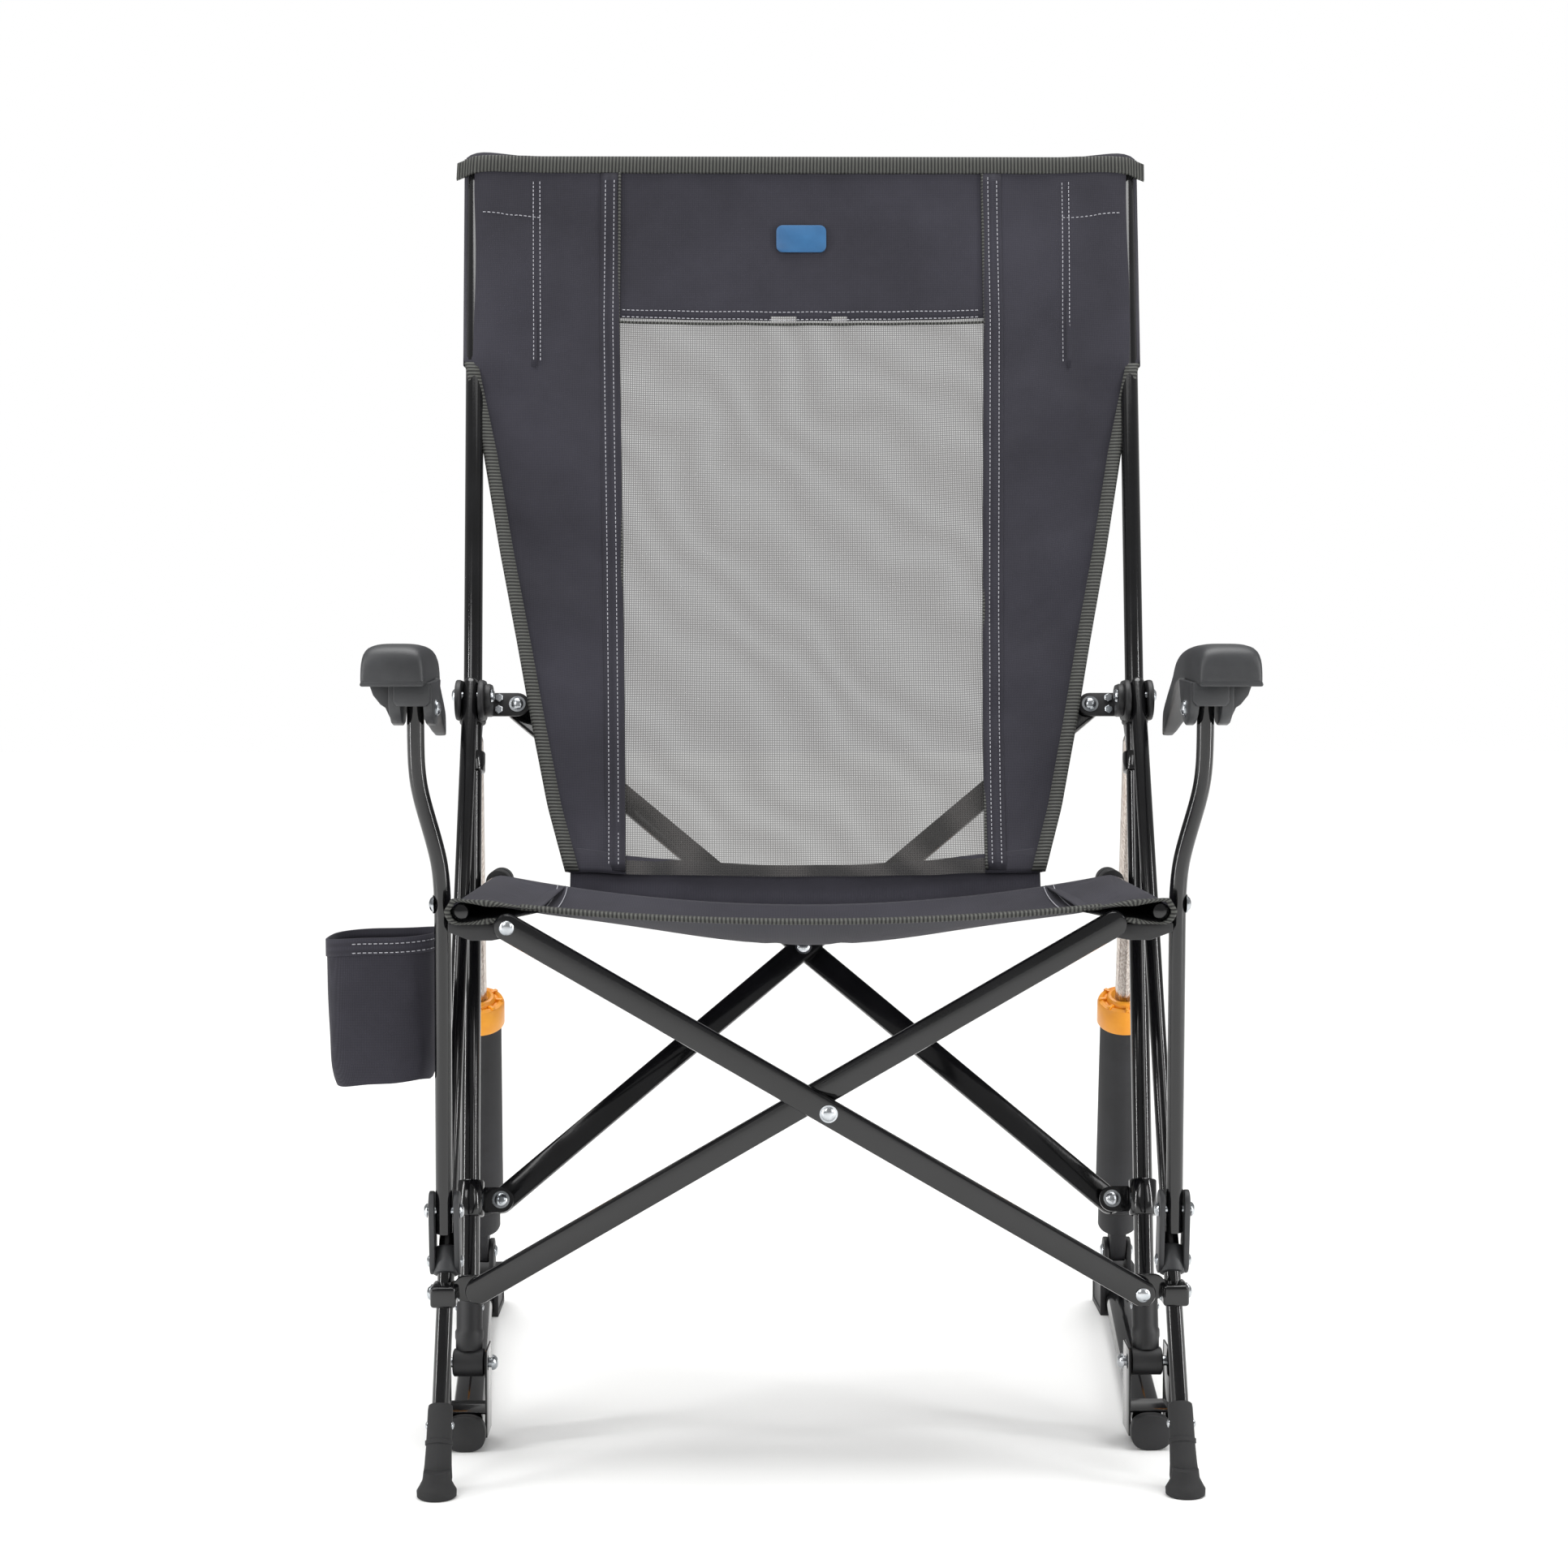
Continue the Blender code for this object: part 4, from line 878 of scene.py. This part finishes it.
def ribbon(name, points, facings, section, finish, closed=False):
    # a strip or tape swept along points: section rows are (across, proud), and facings give each
    # point's two axes
    shape = bmesh.new()
    flat = shape.loops.layers.uv.new("UVMap")
    loops, distance, marks = [], 0.0, []
    for index, (point, (sideways, proud)) in enumerate(zip(points, facings)):
        if index:
            distance += (point - points[index - 1]).length
        marks.append(distance)
        loops.append([shape.verts.new(point + sideways * a + proud * b) for a, b in section])
    count = len(section)
    turns = len(loops) if closed else len(loops) - 1
    for index in range(turns):
        one, two = loops[index], loops[(index + 1) % len(loops)]
        end = marks[index + 1] if index + 1 < len(marks) else distance + (points[0] - points[-1]).length
        for step in range(count):
            after = (step + 1) % count
            face = shape.faces.new((one[step], one[after], two[after], two[step]))
            corners = ((step, marks[index]), (step + 1, marks[index]), (step + 1, end), (step, end))
            for corner, (sideStep, run) in zip(face.loops, corners):
                corner[flat].uv = (sideStep * 0.003, run)
            face.smooth = True
    if not closed:
        shape.faces.new(loops[0][::-1])
        shape.faces.new(loops[-1])
    bmesh.ops.recalc_face_normals(shape, faces=shape.faces)
    return shaped(name, shape, finish)


stitchSettings = {"pitch": 0.0042, "length": 0.0027, "width": 0.0007}


def stitches(name, points, facing):
    # a row of short raised threads along a line
    pitch, stitch, width = stitchSettings["pitch"], stitchSettings["length"], stitchSettings["width"]
    shape = bmesh.new()
    lengths = [0.0]
    for one, two in zip(points, points[1:]):
        lengths.append(lengths[-1] + (two - one).length)

    def onLine(distance):
        for index in range(1, len(points)):
            if distance <= lengths[index]:
                share = (distance - lengths[index - 1]) / max(lengths[index] - lengths[index - 1], 1e-9)
                return points[index - 1].lerp(points[index], share)
        return points[-1].copy()

    for number in range(int(lengths[-1] / pitch)):
        start, end = onLine(number * pitch), onLine(number * pitch + stitch)
        line = (end - start).normalized()
        sideways = line.cross(facing).normalized() * width / 2
        rise = facing.normalized() * width * 0.6
        base = [start - sideways, start + sideways, end + sideways, end - sideways]
        lower = [shape.verts.new(point) for point in base]
        taper = line * stitch * 0.15
        upper = [shape.verts.new(point + rise + (taper if k < 2 else -taper)) for k, point in enumerate(base)]
        shape.faces.new(lower[::-1])
        shape.faces.new(upper)
        for k in range(4):
            shape.faces.new((lower[k], lower[(k + 1) % 4], upper[(k + 1) % 4], upper[k]))
    bmesh.ops.recalc_face_normals(shape, faces=shape.faces)
    return shaped(name, shape, thread)


backSettings = {"top": 1.0970, "bottom": 0.4475, "sleeveEnd": 0.899, "sleeveTop": 1.0955, "wrap": 0.0100,
                "seam": 0.056, "foldedShare": 0.31, "windowTop": 0.946,
                "window": [(0.455, 0.1534), (0.946, 0.167)],
                "edge": [(0.4443, 0.2018), (0.5043, 0.2194), (0.5727, 0.2346), (0.65, 0.2505),
                         (0.7295, 0.2675), (0.8188, 0.2847), (0.899, 0.3035)]}
backRise = backSettings["top"] - backSettings["bottom"]


def carried(pieces, body, keep=None):
    # cloth attached to one body; when keep is given, each piece also gets its own copy of its mesh
    for piece in pieces:
        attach(piece, body)
        if keep is not None:
            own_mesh(piece)


def poleLine(height):
    return lineDepth(rockPivot, poleTop, height)


def backHalf(height):
    if height >= backSettings["sleeveEnd"]:
        return poleOut(height) + backSettings["wrap"]
    return tableValue(backSettings["edge"], height)


def backForward(share, height):
    # how far the cloth stands in front of the poles' plane
    x = abs(share) * backHalf(height)
    belly = max(0.0, 1 - (x / max(backHalf(height) - 0.03, 0.1)) ** 2)
    hollow = -0.013 * belly * min(1.0, (backSettings["top"] - height) / 0.16)
    tail = 0.019 * max(0.0, 1 - (height - 0.444) / 0.22) ** 1.5
    onPole = 0.0
    if height > backSettings["sleeveEnd"] - 0.03:
        rise = min(1.0, (height - backSettings["sleeveEnd"] + 0.03) / 0.03)
        gap = x - poleOut(height)
        wrap = backSettings["wrap"]
        onPole = rise * (wrap if gap > -0.012 else wrap * max(0.0, 1 - (-gap - 0.012) / 0.044))
        if gap > 0:
            onPole = rise * math.sqrt(max(0.0, wrap ** 2 - min(gap, wrap) ** 2))
    panel = max(0.0, min(1.0, (abs(share) - 0.50) / 0.15)) * max(0.0, min(1.0, (0.97 - abs(share)) / 0.12))
    fold = math.sin(52 * x - 30 * height + 1.5 * share) + 0.6 * math.sin(70 * x + 41 * height)
    creases = 0.0022 * panel * fold * (1.0 if height < 0.88 else 0.4)
    creases += 0.0007 * math.sin(23 * x + 35 * height * share)
    return hollow + tail + onPole + creases * min(1.0, (backSettings["top"] - height) / 0.03)


def backPoint(share, height):
    point = spot(1, share * backHalf(height), poleLine(height), height)
    return point + poleForward * backForward(share, height)


def backPlace(u, v):
    height = backSettings["bottom"] + backRise * (v + 1) / 2
    half = backHalf(height)
    inner = tableValue(backSettings["window"], height) / half
    share = u / 0.6 * inner if abs(u) <= 0.6 else math.copysign(inner + (abs(u) - 0.6) / 0.4 * (1 - inner), u)
    return backPoint(share, height)


back, spots = clothGrid("back_cloth", 60, 78, backPlace, cloth)
pinned = {}
for index, (u, v) in spots.items():
    onSleeve = backSettings["bottom"] + backRise * (v + 1) / 2 > 0.86 and abs(u) > 0.80
    if abs(v) > 0.97 or abs(u) > 0.985 or onSleeve:
        pinned[index] = 1.0
drape(back, pinned, 16, {"quality": 6, "mass": 0.25, "tension": 30.0, "shear": 12.0, "bending": 1.5,
                         "slack": -0.004})
subdivided(back)
print("back cloth hung")

# the see-through window is cut out of the same cloth
pick(back)
bpy.ops.object.mode_set(mode="EDIT")
bpy.ops.mesh.select_mode(type="FACE")
bpy.ops.mesh.select_all(action="DESELECT")
shape = bmesh.from_edit_mesh(back.data)
for face in shape.faces:
    middle = face.calc_center_median()
    wide = tableValue(backSettings["window"], middle.z)
    face.select_set(middle.z < backSettings["windowTop"] and abs(middle.x - centreX) < wide)
bmesh.update_edit_mesh(back.data)
bpy.ops.mesh.separate(type="SELECTED")
bpy.ops.object.mode_set(mode="OBJECT")
window = [thing for thing in bpy.context.selected_objects if thing != back][0]
window.name = window.data.name = "back_window"
window.data.materials.clear()
window.data.materials.append(meshCloth)
thickened(back, 0.0012)


def onBack(x, height, proud=0.0):
    # a point on the hung cloth, by looking at the nearest place on it
    guess = backPoint(x / backHalf(height), height)
    nearest = min((piece.closest_point_on_mesh(guess)[1] for piece in (window, back)),
                  key=lambda place: (place - guess).length)
    return Vector((guess.x, nearest.y, nearest.z)) + poleForward * (0.0008 + proud)


def steps(low, high, count):
    return [low + (high - low) * k / count for k in range(count + 1)]


def besideWindow(sign, gap, proud, low=0.4500, high=1.0820):
    return [onBack(sign * (tableValue(backSettings["window"], h) + gap), h, proud)
            for h in steps(low, high, 80)]


backPieces = []


def backRibbon(name, line, axis, section, finish):
    backPieces.append(ribbon(name, line, [(axis, poleForward)] * len(line), section, finish))


def backStitches(name, line):
    backPieces.append(stitches(name, line, poleForward))


def hemmed(depth, half, lipRows):
    # a tape folded over an edge: flat on both faces, closed round the lip
    return [(depth, half)] + lipRows + [(depth, -half)]


tapeSection = hemmed(-0.0100, 0.0019, [(0.0, 0.0022), (0.0018, 0.0012), (0.0022, 0.0), (0.0018, -0.0012),
                                       (0.0, -0.0022)]) + [(-0.0100, -0.0009), (-0.0100, 0.0009)]
for sign in (-1, 1):
    line = [onBack(sign * (backHalf(h) - 0.0012), h) - poleForward * 0.0008
            for h in steps(0.4480, 0.8985, 60)]
    backRibbon("back_edge_tape_%d" % (sign + 1), line, across * sign, tapeSection, tape)
topSection = hemmed(-0.0150, 0.0019, [(0.0, 0.0023), (0.0016, 0.0012), (0.0020, 0.0), (0.0016, -0.0012),
                                      (0.0, -0.0023)]) + [(-0.0150, 0.0)]
line = []
for share in steps(-1.022, 1.022, 80):
    dip = 0.0070 * max(0.0, (abs(share) - 0.80) / 0.22)          # the corners hang a little
    point = backPoint(max(-1, min(1, share)), 1.0965 - dip)
    line.append(Vector((centreX + share * backHalf(1.0965), point.y, point.z)))
backRibbon("back_top_tape", line, poleAlong(1), topSection, tape)

cordSection = [(0.0013 * math.cos(a * math.pi / 4), 0.0013 * math.sin(a * math.pi / 4)) for a in range(8)]
stripSection = [(-0.0085, 0.0007), (0.0085, 0.0007), (0.0090, 0.0), (0.0085, -0.0007), (-0.0085, -0.0007),
                (-0.0090, 0.0)]
for sign in (-1, 1):
    hand = sign + 1
    backRibbon("window_strip_%d" % hand, besideWindow(sign, 0.0085, 0.0003), across, stripSection, cloth)
    backRibbon("window_piping_%d" % hand, besideWindow(sign, 0.0005, 0.0006), across, cordSection, tape)
    for number, gap in enumerate((0.0055, 0.0135)):
        backStitches("window_stitch_%d_%d" % (hand, number), besideWindow(sign, gap, 0.0017, 0.4550, 1.0800))
    for number, gap in enumerate((0.0530, 0.0590)):
        line = [onBack(sign * (poleOut(h) - gap), h, 0.0007) for h in steps(0.9050, 1.0780, 24)]
        backStitches("sleeve_stitch_%d_%d" % (hand, number), line)
    backStitches("sleeve_cross_stitch_%d" % hand,
                 [onBack(sign * x, 1.0390, 0.0002) for x in steps(0.2400, 0.2960, 14)])
for number, height in enumerate((0.9500, 0.9570)):
    backStitches("yoke_stitch_%d" % number, [onBack(x, height, 0.0012) for x in steps(-0.1640, 0.1640, 60)])
line = [onBack(x, 0.9462, 0.0010) for x in steps(-0.1670, 0.1670, 60)]
backRibbon("window_piping_top", line, poleAlong(1), cordSection, tape)

# the window's foot is closed by a folded hem that hangs behind the seat's rear edge
line = []
for x in steps(-0.1995, 0.1995, 60):
    point = backPoint(x / backHalf(0.455), 0.455)
    line.append(point - poleForward * 0.0032 - poleAlong(0) * 0.012 * (1 - (x / 0.2) ** 2))
hemRows = [(0.0145, 0.0011), (-0.0270, 0.0011), (-0.0276, 0.0), (-0.0270, -0.0011), (0.0145, -0.0011),
           (0.0151, 0.0)]
backRibbon("back_foot_hem", line, poleAlong(0), hemRows, cloth)

# plain rounded-rectangle patch, with no mark on it
patchSettings = {"width": 0.046, "height": 0.026, "corner": 0.006, "centre": 1.0230}
corner = patchSettings["corner"]
outline = []
for right, above, begin in ((1, 1, 0), (-1, 1, 90), (-1, -1, 180), (1, -1, 270)):
    for turn in range(0, 91, 15):
        angle = math.radians(begin + turn)
        outline.append((right * (patchSettings["width"] / 2 - corner) + corner * math.cos(angle),
                        above * (patchSettings["height"] / 2 - corner) + corner * math.sin(angle)))
patchLow, patchHigh = (onBack(0.0, patchSettings["centre"] + shift, 0.0013) for shift in (-0.013, 0.013))
patchUp = (patchHigh - patchLow).normalized()
patchMiddle = (patchLow + patchHigh) / 2
outline = [patchMiddle + Vector((a, 0, 0)) + patchUp * b for a, b in outline]
backPieces.append(plate("plain_patch", outline, 0.0014, patchVinyl, 0.0005))

# sleeves: the cloth goes round behind each pole and comes back to the seam
sleeveRear = []
for side, mark in sides:
    def sleevePlace(u, v, side=side):
        low, high = backSettings["sleeveEnd"], backSettings["sleeveTop"]
        height = low + (high - low) * (v + 1) / 2
        share = (u + 1) / 2
        if share < 0.45:                             # half round the pole, from its outside to its rear
            angle = math.pi / 2 * share / 0.45
            out = poleOut(height) + backSettings["wrap"] * math.cos(angle)
            forward = -backSettings["wrap"] * math.sin(angle)
        else:
            run = (share - 0.45) / 0.55
            out = poleOut(height) - backSettings["seam"] * run
            forward = -backSettings["wrap"] * (1 - run) - 0.0016 * run
        return spot(side, out, poleLine(height), height) + poleForward * forward
    wrap, _ = clothGrid("back_sleeve" + mark, 18, 24, sleevePlace, cloth)
    thickened(wrap, 0.0010)
    sleeveRear.append((wrap, mark))
print("back cloth finished")

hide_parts("back_sling")
carried([back, window] + backPieces, "back_l", backSettings["foldedShare"])
for wrap, mark in sleeveRear:
    carried([wrap], "back" + mark)


seatSettings = {"front": 0.0290, "rear": 0.2575, "sleeveRear": 0.2640, "railTop": 0.4515,
                "railMiddle": 0.4440, "wrap": 0.0090, "seam": 0.058, "foldedShare": 0.244}
seatLong = seatSettings["rear"] - seatSettings["front"]


def railOut(depth):
    return 0.2680 - 0.0080 * (depth - 0.030) / 0.270


def seatPlace(u, v):
    depth = seatSettings["front"] + seatLong * (v + 1) / 2
    wrap = seatSettings["wrap"]
    half = railOut(depth) + wrap
    x = u * half
    gap = abs(x) - railOut(depth)
    dip = 0.0165 * (1 - min(1.0, abs(x) / railOut(depth)) ** 2) + 0.010 * (1 - (x / half) ** 2) * (v + 1) / 2
    belly = 0.021 * max(0.0, 1 - (x / 0.185) ** 2) ** 1.5 * math.sin(math.pi * (v + 1) / 2)
    height = seatSettings["railTop"] + 0.0010 * (v + 1) - dip - belly
    if gap > 0:
        height = seatSettings["railMiddle"] + 0.0085 * math.sqrt(max(0.0, 1 - (gap / wrap) ** 2))
    return spot(1, x, depth, height)


seat, spots = clothGrid("seat_cloth", 64, 30, seatPlace, cloth)
pinned = {index: 1.0 for index, (u, v) in spots.items() if abs(u) > 0.90 or v > 0.95 or v < -0.95}
drape(seat, pinned, 14, {"quality": 6, "mass": 0.3, "tension": 35.0, "shear": 14.0, "bending": 1.5,
                         "slack": -0.006})
subdivided(seat)
thickened(seat, 0.0012)


def onSeat(x, depth, proud=0.0):
    guess = seatPlace(max(-1, min(1, x / (railOut(depth) + seatSettings["wrap"]))),
                      (depth - seatSettings["front"]) / seatLong * 2 - 1)
    nearest = seat.closest_point_on_mesh(guess)[1]
    return Vector((guess.x, guess.y, nearest.z + 0.0006 + proud))


up = Vector((0, 0, 1))
line = [seatPlace(u, -1) + Vector((0, -0.0006, 0)) for u in steps(-0.80, 0.80, 80)]
frontSection = hemmed(0.0100, 0.0019, [(0.0, 0.0022), (-0.0018, 0.0012), (-0.0022, 0.0), (-0.0018, -0.0012),
                                       (0.0, -0.0022)]) + [(0.0100, 0.0)]
seatPieces = [ribbon("seat_front_tape", line, [(Vector((0, 1, 0)), up)] * len(line), frontSection, tape)]
for sign in (-1, 1):
    for number, gap in enumerate((0.0, 0.0080)):
        line = [onSeat(sign * (0.2090 - gap), depth, 0.0002) for depth in steps(0.0400, 0.2560, 24)]
        seatPieces.append(stitches("seat_stitch_%d_%d" % (sign + 1, number), line, up))
line = [onSeat(x, 0.0420, 0.0002) for x in steps(-0.2000, 0.2000, 60)]
seatPieces.append(stitches("seat_hem_stitch", line, up))
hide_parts("seat_sling")
carried([seat] + seatPieces, "rail_l", seatSettings["foldedShare"])

# the sleeve's lower half wraps under each rail and comes back to the seam
for side, mark in sides:
    def underPlace(u, v, side=side):
        depth = seatSettings["front"] + (seatSettings["sleeveRear"] - seatSettings["front"]) * (v + 1) / 2
        share = (u + 1) / 2
        rail = railOut(depth)
        if share < 0.35:
            angle = math.pi * share / 0.35
            out = rail + seatSettings["wrap"] * math.cos(angle / 2)
            height = seatSettings["railMiddle"] - 0.0100 * math.sin(angle / 2)
        else:
            run = (share - 0.35) / 0.65
            out = rail - seatSettings["seam"] * run
            height = 0.4340 + (0.4425 - 0.4340) * run ** 1.4
        return spot(side, out, depth, height)
    wrap, _ = clothGrid("seat_sleeve" + mark, 22, 20, underPlace, cloth)
    thickened(wrap, 0.0010)
    # bound mouth of the sleeve
    mouth = [seatPlace(u, -1) for u in steps(0.76, 1.0, 14)]
    if side < 0:
        mouth = [Vector((2 * centreX - point.x, point.y, point.z)) for point in mouth]
    mouth += [underPlace(u, -1) for u in steps(-0.96, 1.0, 24)]
    middle = sum(mouth, Vector()) / len(mouth)
    facing = [(Vector((0, -1, 0)), (point - middle).normalized()) for point in mouth]
    mouthSection = [(0.0030, -0.0018), (0.0037, 0.0003), (0.0030, 0.0024), (-0.0080, 0.0024),
                    (-0.0080, -0.0018)]
    bound = ribbon("sleeve_mouth_tape" + mark, mouth, facing, mouthSection, tape)
    carried([wrap, bound], "rail" + mark)
print("seat finished")


pocketSettings = {"middle": (0.33525, 0.1030), "half": (0.04275, 0.0380), "low": 0.3055, "high": 0.4215,
                  "squareness": 0.52}


def pocketPlace(u, v):
    # u runs round the bag, v from its rim down to the middle of its floor
    turn = (u + 1) * math.pi
    drop = (v + 1) / 2
    height = pocketSettings["high"] - min(drop / 0.80, 1.0) * (pocketSettings["high"] - pocketSettings["low"])
    shrink = 1.0 - 0.09 * drop
    if drop > 0.62:
        shrink *= math.sqrt(max(0.0, 1 - ((drop - 0.62) / 0.38) ** 2.4))
    ripple = 0.016 * math.sin(3 * turn + 7 * drop) + 0.012 * math.sin(7 * turn - 11 * drop)
    shrink *= 1 + ripple * drop * (1.3 - drop)
    c, s = math.cos(turn), math.sin(turn)
    height -= 0.0050 * (1 - drop) * (1 + c) / 2             # the outer rim stands higher
    height += 0.0030 * drop * math.sin(2 * turn)
    out, depth = (middle + half * shrink * math.copysign(abs(wave) ** pocketSettings["squareness"], wave)
                  for middle, half, wave in zip(pocketSettings["middle"], pocketSettings["half"], (c, s)))
    return spot(-1, out, depth, height)


pocket, _ = clothGrid("pocket_cloth", 96, 40, pocketPlace, cloth)
for loop in pocket.data.loops:
    point = pocket.data.vertices[loop.vertex_index].co
    pocket.data.uv_layers.active.data[loop.index].uv = (point.x + point.y, point.z)
settle(pocket, "pocket_cloth", cloth, 50)
thickened(pocket, 0.0014)
rim = [pocketPlace(u, -1) for u in steps(-1.0, 1.0, 96)][:-1]
centre = sum(rim, Vector()) / len(rim)
facing = [(up, (point - centre).normalized()) for point in rim]
hem = ribbon("pocket_hem", rim, facing, [(0.0006, 0.0), (0.0, 0.0014), (-0.0130, 0.0013), (-0.0130, -0.0013),
                                         (0.0, -0.0014)], cloth, True)
pocketPieces = [pocket, hem]
for number, drop in enumerate((0.0040, 0.0110)):
    line = [point + (point - centre).normalized() * 0.0015 - up * drop for point in rim[20:78]]
    pocketPieces.append(stitches("pocket_stitch_%d" % number, line, Vector((-0.7, -0.7, 0))))
carried(pocketPieces, "post_l")
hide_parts("cup_pocket")
print("pocket finished")


clearSelection()
bpy.ops.mesh.primitive_plane_add(size=30, location=(0, 0, 0))
floor = bpy.context.object
floor.name = "studio_floor"
floorPaint, floorTree, floorShader = newMaterial("paleStudioFloor", Roughness=0.9)
tinted(floorTree, floorShader, objectNoise(floorTree, 0.8), "#f1f1f0", "#f6f6f5")
floor.data.materials.append(floorPaint)

world = bpy.data.worlds.new("studio")
bpy.context.scene.world = world
world.use_nodes = True
seen = addNode(world.node_tree, "ShaderNodeLightPath")
glow = addNode(world.node_tree, "ShaderNodeMapRange", {"To Min": 0.34, "To Max": 1.0},
               {"Value": seen.outputs["Is Camera Ray"]})           # bright backdrop, dimmer room
world.node_tree.nodes["Background"].inputs["Color"].default_value = (1.0, 1.0, 1.0, 1.0)
world.node_tree.links.new(glow.outputs[0], world.node_tree.nodes["Background"].inputs["Strength"])
lights = {"key": ((-1.7, -2.4, 2.4), (0.9, 1.8), 24.0), "fill": ((2.0, -2.2, 1.6), (0.6, 1.8), 14.0),
          "stripLeft": ((-2.2, -0.9, 0.9), (0.14, 2.4), 30.0),
          "stripRight": ((2.2, -0.9, 0.9), (0.14, 2.4), 30.0),
          "top": ((0.0, 0.2, 2.8), (2.0, 2.0), 14.0)}
for name, (where, size, power) in lights.items():
    lamp = bpy.data.lights.new(name, "AREA")
    lamp.shape, lamp.size, lamp.size_y, lamp.energy = "RECTANGLE", size[0], size[1], power
    holder = bpy.data.objects.new(name, lamp)
    bpy.context.collection.objects.link(holder)
    holder.location = where
    holder.rotation_euler = (Vector((0, 0, 0.55)) - Vector(where)).to_track_quat("-Z", "Y").to_euler()

sky = bpy.data.lights.new("softCeiling", "SUN")
sky.energy, sky.angle = 2.75, math.radians(50)
ceiling = bpy.data.objects.new("softCeiling", sky)
bpy.context.collection.objects.link(ceiling)
ceiling.rotation_euler = (math.radians(-4), 0, 0)

lens = bpy.data.cameras.new("view")
lens.lens, lens.sensor_width = 63.84, 36.0
camera = bpy.data.objects.new("view", lens)
bpy.context.collection.objects.link(camera)
camera.location = (-0.0220, -centreDepth - 2.085, 0.6427)
camera.rotation_euler = (math.radians(90 - 2.77), 0, math.radians(-0.585))
bpy.context.scene.camera = camera
bpy.context.scene.view_settings.view_transform = "Standard"

print("scene finished")
